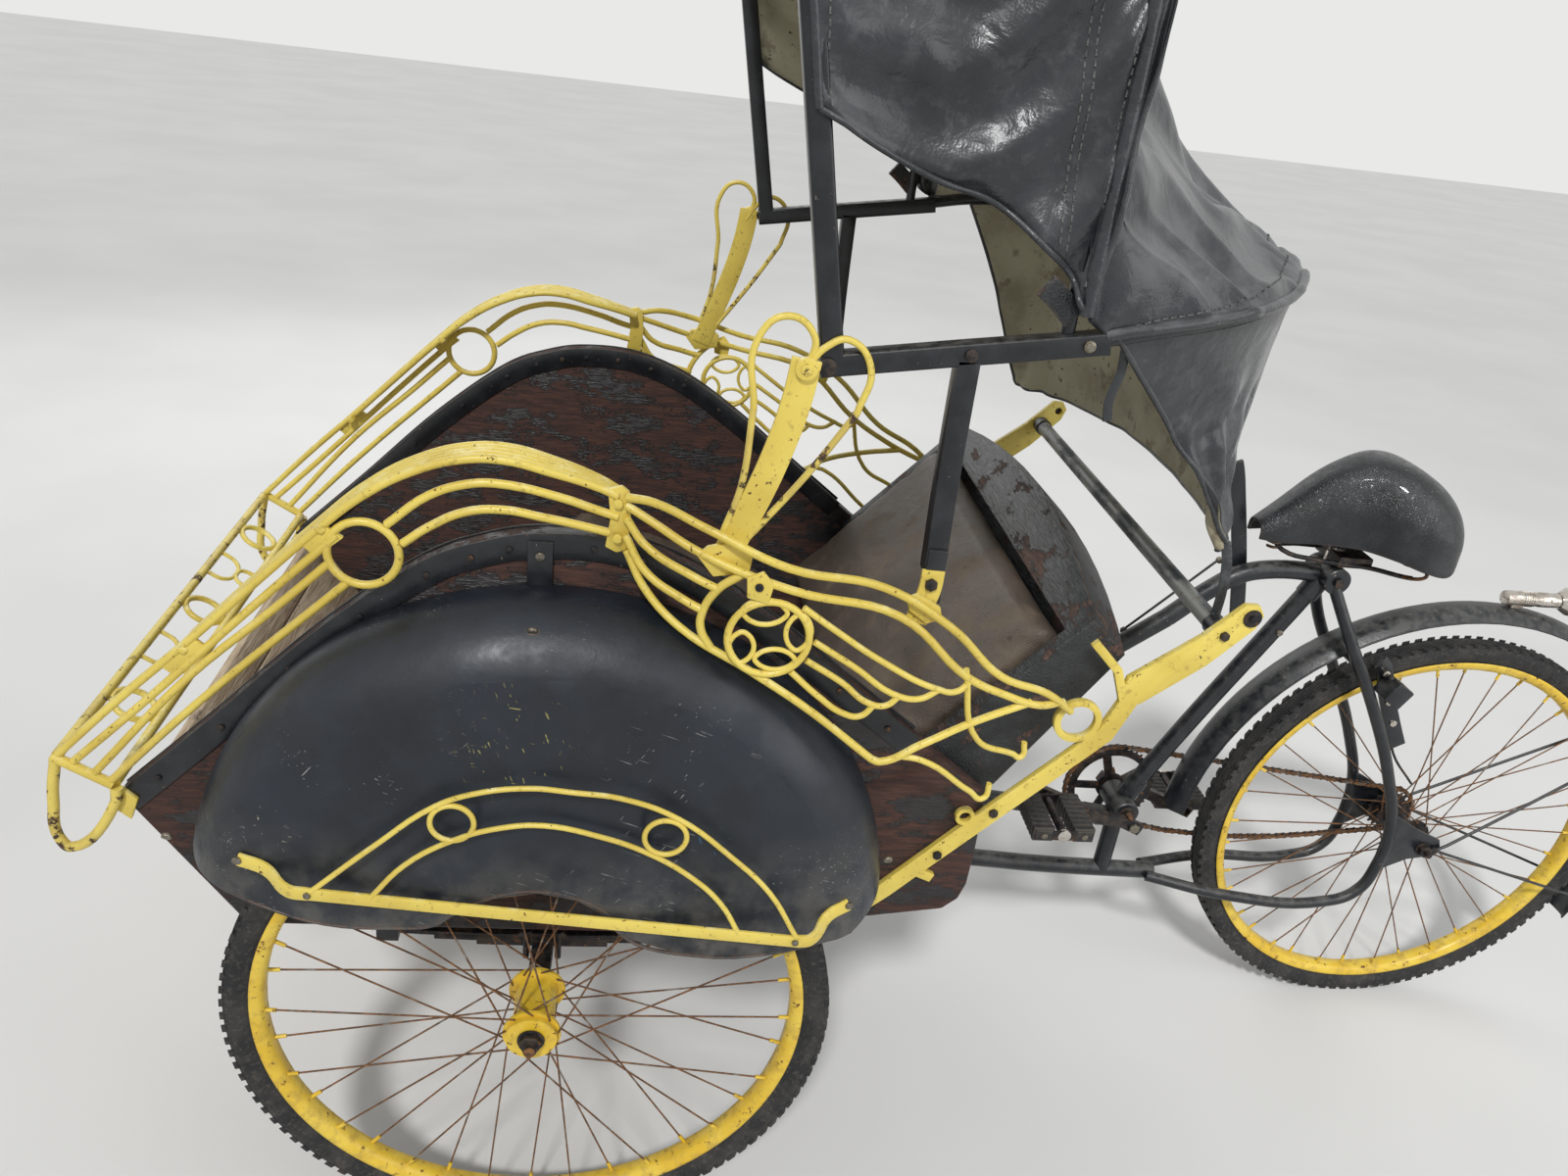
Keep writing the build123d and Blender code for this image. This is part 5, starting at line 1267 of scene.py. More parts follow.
def make_pedal(out, body, node):
    """Two ribbed rubber blocks on a steel cage, with a dust cap at the outer end of the pin."""
    x0 = BRACKET_X + out * CRANK_LONG * math.cos(CRANK_TURN)
    z0 = BRACKET_Z + out * CRANK_LONG * math.sin(CRANK_TURN)
    start = 100.0
    parts = [knob(x0, out * (start + 40), z0, 6.6, 104, DARK_STEEL, 20)]
    for sign in (1, -1):
        xm = x0 + sign * 30
        for k in range(8):
            y0 = start + 3 + k * 11
            ys = sorted((out * y0, out * (y0 + 9.2)))
            parts.append(block((xm - 15.5, xm + 15.5), ys, (z0 - 11.6, z0 + 11.6), PEDAL_RUBBER, 1.6))
        ys = sorted((out * start, out * (start + 92)))
        parts.append(block((xm - 12, xm + 12), ys, (z0 - 9, z0 + 9), PEDAL_RUBBER, 1.2))
    for y0 in (start + 1, start + 88.5):
        ys = sorted((out * y0, out * (y0 + 3)))
        parts.append(block((x0 - 44, x0 + 44), ys, (z0 - 8, z0 + 8), DARK_STEEL, 1.2))
        for sign in (1, -1):
            parts.append(knob(x0 + sign * 30, out * (y0 + 2 + (2 if y0 > 120 else -1)), z0, 5, 3, SCREW, 6))
    parts.append(knob(x0, out * (start + 90), z0, 10, 6, CHROME, 24, soft=1.8))
    return placed(joined(node + "_blocks", parts), body, node)


make_pedal(1, "left_pedal", "left_pedal")
make_pedal(-1, "right_pedal", "right_pedal")


def make_tail_lamp():
    """A short chromed torch on the mudguard, its ribbed bell turned to the rear."""
    z = 787.5

    def laid_back(tube):
        """A tube that was turned about Y, laid along the mudguard with its top to the rear."""
        for corner in tube.data.vertices:
            px, py, pz = corner.co - at(0, 0, 0)
            corner.co = at(-20 - py * 1000, px * 1000, z + pz * 1000)
        return tube

    sections = [
        [(1, -10), (11, -10), (11.4, -8), (11.4, 38), (10.6, 40), (10.6, 44), (11.4, 46), (11.4, 76),
         (10, 80), (1, 80)],
        [(1, 80), (12, 80), (17, 88), (21.5, 96), (22, 99), (22, 102), (19, 103), (18, 100), (1, 99)]]
    parts = [laid_back(turned(section, 0, 0, 0, CHROME, 40, 30)) for section in sections]
    for k in range(5):
        groove = [(10.8, k * 4 + 16), (12.1, k * 4 + 16.6), (12.1, k * 4 + 18), (10.8, k * 4 + 18.6)]
        parts.append(laid_back(turned(groove, 0, 0, 0, CHROME, 32)))
    parts.append(block((-40, -20), (-8, 8), (773.4, z), CHROME, 1))
    return joined("tail_lamp_torch", parts)


placed(make_tail_lamp(), "rear_frame", "tail_lamp")


# Saddle

def curve_between(a, b, c, d, t):
    """A place between b and c on the smooth curve that also runs through a and d."""
    square = a * 2 - b * 5 + c * 4 - d
    cube = b * 3 - a - c * 3 + d
    return (b * 2 + (c - a) * t + square * t * t + cube * t ** 3) * 0.5


def through(points, where):
    """A place on a smooth curve through the points, where 0 is the first of them and 1 the last."""
    last = len(points) - 1
    where = min(max(where, 0.0), 1.0) * last
    k = min(int(where), last - 1)
    t = where - k
    before = points[k - 1] if k else points[0] * 2 - points[1]
    after = points[k + 2] if k + 2 <= last else points[last] * 2 - points[last - 1]
    return curve_between(before, points[k], points[k + 1], after, t)


def skin(name, rows, fine_across, fine_along, fold=None):
    """One smooth sheet through rows of points, with folds laid on it: the piece and its grid."""
    rows = [[Vector(p) for p in row] for row in rows]
    off()
    bpy.ops.mesh.primitive_grid_add(x_subdivisions=fine_across, y_subdivisions=fine_along, size=2)
    piece = bpy.context.object
    piece.name = name
    grid = [[None] * (fine_across + 1) for _ in range(fine_along + 1)]
    index = {}
    for corner in piece.data.vertices:
        i = round((corner.co.x + 1) / 2 * fine_across)
        j = round((corner.co.y + 1) / 2 * fine_along)
        index[(i, j)] = corner.index
    for i in range(fine_across + 1):
        u = i / fine_across
        column = [through(row, u) for row in rows]
        for j in range(fine_along + 1):
            grid[j][i] = through(column, j / fine_along)
    if fold is not None:
        moved = []
        for j in range(fine_along + 1):
            line = []
            for i in range(fine_across + 1):
                along = grid[min(j + 1, fine_along)][i] - grid[max(j - 1, 0)][i]
                across = grid[j][min(i + 1, fine_across)] - grid[j][max(i - 1, 0)]
                normal = along.cross(across).normalized()
                line.append(grid[j][i] + normal * fold(i / fine_across, j / fine_along, grid[j][i]))
            moved.append(line)
        grid = moved
    for (i, j), corner in index.items():
        piece.data.vertices[corner].co = at(*grid[j][i])
    piece.location = (0, 0, 0)
    return piece, grid


def cloth_area(piece):
    return sum(face.area for face in piece.data.polygons)


def make_saddle():
    """Moulded hide over a nose and a cantle bar, with rivets where it is fixed."""
    # Each station: x, half width, crown height, edge height
    stations = [(421, 16, 882, 862), (390, 25, 910, 862), (340, 36, 958, 868), (290, 54, 984, 872),
                (250, 82, 987, 870), (215, 98, 978, 862), (182, 97, 960, 856), (157, 76, 934, 862),
                (141, 38, 912, 876)]
    rows = []
    for x, half, crown, edge in stations:
        row = []
        for k in range(15):
            turn = math.pi * k / 14
            across = math.cos(turn)
            rise = math.sin(turn) ** 0.62 if 0 < k < 14 else 0.0
            row.append((x, half * math.copysign(abs(across) ** 0.72, across), edge + (crown - edge) * rise))
        rows.append(row)

    def dished(u, v, place):
        middle = math.exp(-((u - 0.5) / 0.2) ** 2) * math.exp(-((v - 0.45) / 0.3) ** 2)
        return 3.0 * middle

    hide, grid = skin("hide", rows, 56, 60, dished)
    painted(hide, LEATHER)
    applied(hide, "SOLIDIFY", thickness=0.005, offset=-1.0)
    editing()
    facing_out()
    applied(hide, "BEVEL", width=0.0014, segments=2, limit_method="ANGLE", angle_limit=math.radians(50))
    smooth_by_angle(hide, 60)
    parts = [hide]
    for u, v in ((0.33, 0.9), (0.42, 0.93), (0.5, 0.94), (0.58, 0.93), (0.67, 0.9), (0.5, 0.04), (0.46, 0.12),
                 (0.54, 0.12)):
        spot = grid[round(v * 60)][round(u * 56)]
        parts.append(knob(spot.x, spot.y, spot.z + 0.6, 5.2, 3, CHROME, 16, (0, 0, 0), 1.0))
    return joined("saddle_hide", parts)


placed(make_saddle(), "rear_frame", "saddle")


def make_saddle_springs():
    parts = [rod([(288, 0, 826), (287, 0, 852)], 24, CHROME, straight=True, ring=5),
             block((246, 299), (-34, 34), (832, 849), DARK_STEEL, 2.5)]
    for out in (1, -1):
        parts.append(rod([(392, out * 3, 860), (378, out * 14, 846), (330, out * 28, 840),
                          (250, out * 36, 836), (206, out * 52, 833), (196, out * 58, 834)], 7, DARK_STEEL))
        turns = []
        for k in range(57):
            turn = 2 * math.pi * k / 12
            wide = 15 + 5 * math.sin(math.pi * k / 56)
            turns.append((196 + wide * math.cos(turn), out * (58 + wide * math.sin(turn)), 836 + 92 * k / 56))
        parts.append(rod(turns, 5.5, RUST, turns=2, ring=2))
        parts.append(knob(196, out * 58, 931, 12, 4, DARK_STEEL, 16, (0, 0, 0)))
    parts.append(rod([(186, 84, 928), (172, 60, 936), (166, 0, 938), (172, -60, 936), (186, -84, 928)],
                     8, DARK_STEEL))
    for out in (1, -1):
        parts.append(rod([(196, out * 58, 931), (186, out * 66, 930), (186, out * 84, 928)], 6, DARK_STEEL))
    turns = [(386 + 9 * math.cos(math.pi * k / 5), 11 * math.sin(math.pi * k / 5),
              846 + 0.75 * k) for k in range(31)]
    parts.append(rod(turns, 4.5, RUST, turns=2, ring=2))
    parts.append(rod([(386, 0, 868), (400, 0, 878), (406, 0, 884)], 7, DARK_STEEL))
    return joined("saddle_coils", parts)


placed(make_saddle_springs(), "rear_frame", "saddle_springs")


def make_brake_gear():
    """The hand lever beside the top tube with its rod, and the strap brake on the left stay."""
    lever = [(470, -19, 962), (463, -19, 946), (452, -19, 914), (425, -19, 830), (410, -19, 778),
             (396, -19, 722)]
    parts = [flat_strip(lever, 22, 6, FRAME_BLACK),
             knob(409, -24, 775, 11, 9, DARK_STEEL, 20), knob(409, -28, 775, 7, 4, DARK_STEEL, 6),
             rod([(446, -27, 806), (520, -27, 726), (566, -22, 682)], 4, FRAME_BLACK),
             knob(446, -25, 806, 5, 6, SCREW, 12), knob(566, -18, 682, 6, 8, DARK_STEEL, 6)]
    strap = [(188, 48, 690), (172, 40, 676), (150, 34, 634), (120, 32, 580), (92, 31, 533)]
    parts.append(flat_strip(strap, 24, 7, FRAME_BLACK))
    parts.append(block((138, 172), (38, 74), (628, 662), FRAME_BLACK, 2.5, (0, -30, 0)))
    for x, y, z in ((168, 37, 668), (140, 30, 615), (118, 28, 576)):
        parts.append(knob(x, y + 8, z, 6, 5, CHROME, 6))
    parts.append(rod([(120, 30, 580), (96, 34, 520), (52, 44, 470)], 4, DARK_STEEL))
    return placed(joined("brake_gear", parts), "rear_frame")


make_brake_gear()


# Underside
for node, finish, soft in (("kingpin", DARK_STEEL, 1.5), ("underframe", BLACK, 2.0),
                           ("rear_member", PANEL_WOOD, 3.0), ("leaf_springs", DARK_STEEL, 0.8),
                           ("front_axle", DARK_STEEL, 1.2)):
    extra = [dressed(node, finish, soft)]
    if node == "leaf_springs":
        for out in (1, -1):
            for x in (1372, 1412):
                extra.append(rod([(x, out * 341, 352), (x, out * 341, 396)], 8, DARK_STEEL, straight=True))
                extra.append(knob(x, out * 341, 394, 8, 6, DARK_STEEL, 6, (0, 0, 0)))
            extra.append(block((1362, 1422), (out * 318 - 25, out * 318 + 25), (386, 392), DARK_STEEL, 1))
    if node == "front_axle":
        for out in (1, -1):
            extra.append(knob(WHEELBASE, out * 480, AXLE_Z, 16, 2, DARK_STEEL, 28, soft=0.4))
            extra.append(knob(WHEELBASE, out * 496, AXLE_Z, 7, 6, RUST, 20, soft=1))
    placed(joined(node + "_iron", extra), "cabin", node)


# Cabin box
CREST = [(1858, 603), (1750, 708), (1636, 822), (1528, 910), (1459, 941), (1400, 953), (1321, 950),
         (1237, 920), (1147, 862), (1060, 795), (966, 724)]
CREST_STEPS = 60


def crest_line(steps, lift):
    """The top edge of a side panel, moved up by so many millimetres square to itself."""
    keys = [Vector((x, 0, z)) for x, z in CREST]
    line = [through(keys, k / steps) for k in range(steps + 1)]
    found = []
    for k, spot in enumerate(line):
        run = (line[min(k + 1, steps)] - line[max(k - 1, 0)]).normalized()
        found.append(spot + Vector((run.z, 0, -run.x)) * lift)
    return found


def make_panel_band(y_low, y_high):
    """The black band nailed round the panel's top edge."""
    outer, inner = crest_line(CREST_STEPS, 1.2), crest_line(CREST_STEPS, -28)
    off()
    bpy.ops.mesh.primitive_grid_add(x_subdivisions=CREST_STEPS, y_subdivisions=1, size=2)
    band = bpy.context.object
    for corner in band.data.vertices:
        k = round((corner.co.x + 1) / 2 * CREST_STEPS)
        spot = outer[k] if corner.co.y > 0 else inner[k]
        corner.co = at(spot.x, y_low, spot.z)
    band.location = (0, 0, 0)
    editing()
    bpy.ops.mesh.extrude_region_move(TRANSFORM_OT_translate={"value": (0, (y_high - y_low) / 1000, 0)})
    facing_out()
    applied(band, "BEVEL", width=0.0012, segments=2, limit_method="ANGLE", angle_limit=math.radians(50))
    return smooth_by_angle(painted(band, BLACK))


for side_name, out in (("left", 1), ("right", -1)):
    parts = [dressed(side_name + "_side_panel", PANEL_WOOD, 2.5)]
    for faces in ((364.6, 367.2), (340.6, 343.4)):
        parts.append(make_panel_band(*sorted(out * y for y in faces)))
    nails = crest_line(CREST_STEPS, -14)
    for k in range(2, CREST_STEPS, 4):
        parts.append(knob(nails[k].x, out * 368, nails[k].z, 4, 3, DARK_STEEL, 10, soft=1))
        parts.append(knob(nails[k].x, out * 340, nails[k].z, 4, 3, DARK_STEEL, 10, soft=1))
    # The iron strap that ties the fender's top to the panel
    parts.append(block((1391, 1417), sorted((out * 367.4, out * 370.6)), (884, 946), BLACK, 1))
    parts.append(knob(1404, out * 372, 930, 5, 3, SCREW, 12))
    placed(joined(side_name + "_side_boards", parts), "cabin", side_name + "_side_panel")


def make_floor():
    """The toe board of a narrow and a wide plank, and four floor planks, bare plywood with open joints."""
    slope = math.degrees(math.atan2(603 - 418, 1857 - 1737))
    run = Vector((math.cos(math.radians(slope)), 0, math.sin(math.radians(slope))))
    up = Vector((-run.z, 0, run.x))
    foot = Vector((1735, 0, 426)) + up * 9
    parts = []
    for low, high in ((0, 160), (163, 200)):
        spot = foot + run * (low + high) / 2
        long = (high - low) / 2
        parts.append(block((spot.x - long, spot.x + long), (-342.5, 342.5), (spot.z - 8.5, spot.z + 8.5),
                           PALE_WOOD, 1.5, (0, -slope, 0)))
    for low, high in ((1435.5, 1507), (1509, 1580), (1582, 1652), (1654, 1706)):
        parts.append(block((low, high), (-342.5, 342.5), (422.5, 439.5), PALE_WOOD, 1.5))
    for y in (-300, 0, 300):
        for x in (1470, 1545, 1617, 1680):
            parts.append(knob(x, y, 439.8, 4, 1.2, DARK_STEEL, 10, (0, 0, 0), 0.3))
    return joined("floor_planks", parts)


placed(make_floor(), "cabin", "floor_boards")
placed(joined("seat_box_boards", [dressed("seat_box", PANEL_WOOD, 2.0)]), "cabin", "seat_box")
placed(joined("seat_back_boards", [dressed("seat_back", BACK_WOOD, 2.5)]), "cabin", "seat_back")


def make_fender(node, out):
    """The beaten steel fender: its own skin, a wired edge along the foot, and the bolts that hold it."""
    shell = dressed(node, FENDER, 0.8, 40)
    smooth_by_angle(shell, 45)
    parts = [shell]
    skirt = [(1800, 620), (1776, 575), (1755, 562), (1721, 555), (1677, 541), (1613, 529), (1541, 533),
             (1496, 541), (1478, 556), (1435, 582), (1387, 592), (1345, 583), (1307, 558), (1297, 535),
             (1220, 503), (1110, 498), (1030, 511), (993, 537)]
    keys = []
    for x, z in skirt[3:-1]:
        keys.append((x, out * (fender_face(x, z + 3) - 1.5), z + 1))
    parts.append(rod(keys, 4, FENDER, ring=2, turns=4))
    for x, z in ((1404, 878), (1762, 640), (1010, 640)):
        parts.append(knob(x, out * (fender_face(x, z) + 1.5), z, 5.5, 4, SCREW, 14, (out * 62, 0, 0), 1.2))
    return placed(joined(node + "_shell", parts), "cabin", node)


make_fender("left_fender", 1)
make_fender("right_fender", -1)


# Hood

def quarter(steps):
    return [(math.cos(math.pi / 2 * k / steps), math.sin(math.pi / 2 * k / steps)) for k in range(steps + 1)]


def bow(foot_x, foot_z, crown_x, out, steps=9):
    """Half of a bow from its foot at the left to the crown, held out from the tube's centre line by out."""
    crown_z = 1790 + out
    points = [(foot_x, HOOD_Y + out, foot_z)]
    for across, rise in quarter(steps):
        z = 1540 + (crown_z - 1540) * rise ** 0.85
        x = foot_x + (crown_x - foot_x) * (z - foot_z) / (crown_z - foot_z)
        points.append((x, (HOOD_Y + out) * across ** 0.85, z))
    return points


def front_bow(out, foot_z=1175.0):
    return bow(1135 + (foot_z - 1175) * 0.19, foot_z, 1252, out)


def main_bow(out, foot_z=1211.0):
    return bow(912, foot_z, 915, out)


def hoop_at(degrees, out=0.0, drop=0.0):
    """A place on the hoop behind the hood: 0 at its left end, 90 mid-back and 180 at its right end."""
    turn = math.radians(degrees)
    back = math.sin(turn)
    return (878 - (334 + out) * back, (HOOD_Y + out) * math.cos(turn), 1215 + 42 * back ** 0.7 - drop)


def across_both(half):
    return half + [(x, -y, z) for x, y, z in reversed(half[:-1])]


def square_tube(keys, size, finish, soft=2.5):
    """Square tube through its keys, its corners rounded."""
    curved = len(keys) > 3
    tube = bent(keys, "AUTO" if curved else "VECTOR", 3 if curved else 1)
    for point in tube.data.splines[0].bezier_points:
        point.tilt = math.radians(45)
    tube.data.bevel_depth = size / 2000 * math.sqrt(2)
    tube.data.bevel_resolution = 0
    tube.data.use_fill_caps = True
    bpy.ops.object.convert(target="MESH")
    tube = bpy.context.object
    applied(tube, "BEVEL", width=soft / 1000, segments=2, limit_method="ANGLE", angle_limit=math.radians(60))
    return smooth_by_angle(painted(tube, finish), 50)


def make_hood_frame():
    parts = [square_tube(across_both(front_bow(0)), 22, BLACK)]
    for out in (1, -1):
        y = out * HOOD_Y
        parts.append(square_tube([(1146, y, 1168), (1005, y, 1192), (872, y, 1214)], 22, BLACK))
        parts.append(flat_strip([(1005, y, 1186), (1004, y, 1076), (1001, y, 962)], 22, 22, BLACK))
        parts.append(knob(1140, out * 422, 1169, 9, 5, DARK_STEEL, 20))
        parts.append(knob(1005, out * 422, 1192, 7, 4, DARK_STEEL, 6))
        parts.append(knob(893, out * 422, 1211, 6, 5, SCREW, 14))
        parts.append(flat_strip([(1001, out * 422.5, 990), (1001, out * 422.5, 950),
                                 (1000, out * 422.5, 930)], 20, 4, BLACK))
        # The bent wooden end of the middle bow shows below the cloth
        parts.append(flat_strip([(944, out * 412, 1262), (928, out * 412, 1250), (910, out * 411, 1234)],
                                24, 9, BACK_WOOD))
    parts.append(rod(across_both(main_bow(-3)), 14, BLACK, turns=3))
    hoop = [hoop_at(k * 180 / 18) for k in range(19)]
    parts.append(rod(hoop, 15, BLACK, turns=4, ring=4))
    return joined("hood_tubes", parts)


placed(make_hood_frame(), "cabin", "hood_frame")


def ridge(value, sharp=2.0):
    """A fold's profile over one turn: a rounded crest and a narrower valley."""
    return ((1 + math.cos(value)) / 2) ** sharp


def ripple(place, size, seed):
    return noise.noise(Vector(place) / size + Vector((seed, seed * 1.7, 0)))


def fade(value, low, high):
    """0 below low, 1 above high, smooth between."""
    part = min(max((value - low) / (high - low), 0.0), 1.0)
    return part * part * (3 - 2 * part)


HEM = [(0.0, 1191, 1392), (0.3, 1106, 1361), (0.46, 1059, 1342), (0.66, 1000, 1326), (0.88, 924, 1275),
       (1.0, 893, 1240)]

# The hood's fine grid, and where the middle bow's row lies in it
HOOD_COLUMNS = 300
HOOD_ROWS = 150
SIDE_SHARE = 5 / 11
SPLIT_ROW = round(HOOD_ROWS * SIDE_SHARE)


def hem_at(share):
    x = table_at([(s, x) for s, x, z in HEM], share)
    return x, table_at([(s, z) for s, x, z in HEM], share)


def make_hood_cloth():
    """One cloth over the bows: slack at the sides, strained over the middle bow, hollow down to the hoop."""
    out = 15.0
    front = front_bow(out, 1392)
    main = [(x - 8, y, z) for x, y, z in main_bow(out, 1240)]
    rows = [across_both(front)]
    for share in (0.22, 0.44, 0.66, 0.86):
        hem_x, hem_z = hem_at(share)
        row = []
        for k, (a, b) in enumerate(zip(front, main)):
            low = max(0.0, 1 - k / 3)
            x = a[0] + (b[0] - a[0]) * share
            z = a[2] + (b[2] - a[2]) * share
            if k == 0:
                x, z = hem_x, hem_z
            sag = math.sin(math.pi * share)
            inward = 16 * sag * low + 6 * sag
            drop = 16 * sag * (k / 10) ** 2
            row.append((x, a[1] - inward, z - drop))
        rows.append(across_both(row))
    rows.append(across_both(main))
    count = len(main)
    hoop = [hoop_at(90 * k / (count - 1), 8, -6) for k in range(count)]
    for share, pull, flank, fall in ((0.12, 16, 4, 6), (0.34, 54, 56, 6), (0.58, 78, 96, 0), (0.8, 78, 66, 0),
                                     (0.93, 42, 24, 4)):
        row = []
        for k, (a, b) in enumerate(zip(main, hoop)):
            ease = math.sin(math.pi / 2 * k / (count - 1))
            forward = pull * ease + flank * math.sin(math.pi * k / (count - 1)) ** 1.3
            row.append((a[0] + (b[0] - a[0]) * share + forward, a[1] + (b[1] - a[1]) * share,
                        a[2] + (b[2] - a[2]) * share - fall * ease))
        rows.append(across_both(row))
    rows.append(across_both(hoop))

    def folds(u, v, place):
        side = min(u, 1 - u) * 2
        mirror = 1 if u < 0.5 else 1.2
        if v < SIDE_SHARE:
            share = v / SIDE_SHARE
            hold = fade(share, 0.0, 0.1) * fade(1 - share, 0.0, 0.08)
            low = 1 - fade(side, 0.06, 0.55)
            wander = ripple(place, 110, 3.1 * mirror)
            # Swags that hang from the front bow and rise to the middle bow, closer together low down
            height = place[2] - 1392 + 55 * math.sin(math.pi * share ** 0.7)
            height += 26 * wander - 85 * share * share
            swags = ridge(math.tau * height / (96 * mirror), 1.5) - 0.38
            deep = 17 * (1 - fade(side, 0.25, 0.7)) * hold * swags
            slant = share * 13 + (place[2] - 1392) / 26 * mirror + wander * 3
            cross = 5 * hold * low * (ridge(slant, 2.4) - 0.3)
            strained = 5 * hold * (1 - low) * ripple(place, 160, 1.3)
            pucker = 2.5 * (1 - fade(1 - share, 0.02, 0.16)) * math.sin(side * 62 + wander * 5)
            return deep + cross + strained + pucker
        share = (v - SIDE_SHARE) / (1 - SIDE_SHARE)
        hold = fade(share, 0.0, 0.16)
        wander = ripple(place, 90, 5.7)
        fan = ridge(u * 74 + wander * 4, 2.6)
        gather = 11 * fade(share, 0.55, 0.86) * (1 - fade(share, 0.95, 1.0) * 0.55) * (fan - 0.3)
        falls = ridge(side * 12 - share * 8.5 + wander * 2.2, 1.6) - 0.4
        swag = 22 * hold * (1 - fade(share, 0.55, 0.9)) * falls
        broad = 13 * hold * ripple(place, 150, 2.4) * (1 - fade(share, 0.85, 1.0))
        return gather + swag + broad

    cloth, grid = skin("hood_leathercloth", rows, HOOD_COLUMNS, HOOD_ROWS, folds)
    area = cloth_area(cloth)
    cloth.data.materials.append(HOOD)
    cloth.data.materials.append(LINING)
    return cloth, grid, area


def thick_cloth(piece, thick, inside):
    """Gives a sheet its thickness, with the coated face outside and the lining on the inner side."""
    only(piece)
    outward = sum(face.normal.dot(face.center - inside) > 0 for face in piece.data.polygons)
    if outward < len(piece.data.polygons) / 2:
        editing()
        bpy.ops.mesh.flip_normals()
        bpy.ops.object.mode_set(mode="OBJECT")
    applied(piece, "SOLIDIFY", thickness=thick / 1000, offset=-1.0, material_offset=1, material_offset_rim=0,
            use_quality_normals=True)
    only(piece)
    bpy.ops.object.shade_smooth()
    return piece


hood_cloth, hood_grid, hood_area = make_hood_cloth()
thick_cloth(hood_cloth, 1.8, at(930, 0, 1350))

# The turned-in seam beside the middle bow shows the coated face on both sides
seam_line = KDTree(HOOD_COLUMNS + 1)
for i, place in enumerate(hood_grid[SPLIT_ROW]):
    seam_line.insert(at(*place), i)
seam_line.balance()
for face in hood_cloth.data.polygons:
    if face.material_index == 1 and seam_line.find(face.center)[2] < 0.034:
        face.material_index = 0


def rib(path, thick, finish, turns=2, ring=3, every=3):
    """A rolled edge or piping that follows places on the cloth."""
    keys = [tuple(place) for place in path[::every]]
    if tuple(path[-1]) != keys[-1]:
        keys.append(tuple(path[-1]))
    return rod(keys, thick, finish, turns=turns, ring=ring)


def stitches(path, finish, long=5.5, gap=3.5, thick=1.5):
    """One row of thread along a path: short stitches that stand a little proud."""
    off()
    bpy.ops.mesh.primitive_cube_add(size=1, location=(0, 0, 0))
    stitch = bpy.context.object
    for corner in stitch.data.vertices:
        corner.co = (corner.co.x * long / 1000, corner.co.y * thick / 1000, corner.co.z * thick / 1000)
    places = []
    for spot, run in along_route([tuple(p) for p in path], long + gap, closed=False):
        side = run.cross(Vector((0, 0, 1)))
        side = side.normalized() if side.length > 1e-4 else Vector((1, 0, 0))
        places.append((spot, (run, side, run.cross(side))))
    return copies(painted(stitch, finish), places, "stitches")


def lifted(grid, j, i, lift):
    """A place on the cloth's grid, moved out along the cloth's normal."""
    rows, columns = len(grid) - 1, len(grid[0]) - 1
    along = grid[min(j + 1, rows)][i] - grid[max(j - 1, 0)][i]
    across = grid[j][min(i + 1, columns)] - grid[j][max(i - 1, 0)]
    normal = along.cross(across).normalized()
    away = grid[j][i] - Vector((930, 0, 1350))
    if normal.dot(away) < 0:
        normal = -normal
    return grid[j][i] + normal * lift


def along_row(j, low, high, lift):
    """Places on one row of the hood's grid, from column low up to high."""
    return [lifted(hood_grid, j, i, lift) for i in range(low, high)]


edge_parts = []
for row, lift, thick, every in ((SPLIT_ROW, 0.0, 15, 5), (HOOD_ROWS, -1.0, 12, 4), (0, 0.0, 8, 5)):
    edge_parts.append(rib(along_row(row, 0, HOOD_COLUMNS + 1, lift), thick, HOOD, every=every))
for i in (0, HOOD_COLUMNS):
    edge_parts.append(rib([lifted(hood_grid, j, i, 0.0) for j in range(SPLIT_ROW + 1)], 6, HOOD))
double_seam = round(SPLIT_ROW * 0.77)
for row in (SPLIT_ROW - 4, double_seam, double_seam + 2, 3):
    for low, high in ((1, 150), (150, 299)):
        edge_parts.append(stitches(along_row(row, low, high, 0.6), THREAD))
edge_parts.append(stitches(along_row(HOOD_ROWS - 5, 2, 299, 0.6), THREAD))
trim = placed(joined("hood_edging", edge_parts), "cabin")
placed(hood_cloth, "cabin", "hood_cloth")


CURTAIN_HEM = [(2, 650, 336, 984), (22, 647, 326, 974), (42, 620, 278, 958), (64, 588, 180, 951),
               (80, 574, 70, 950), (96, 572, -50, 950), (114, 585, -180, 950), (134, 618, -296, 947),
               (152, 655, -356, 944), (170, 690, -388, 943)]
CURTAIN_COLUMNS = 220
CURTAIN_ROWS = 90


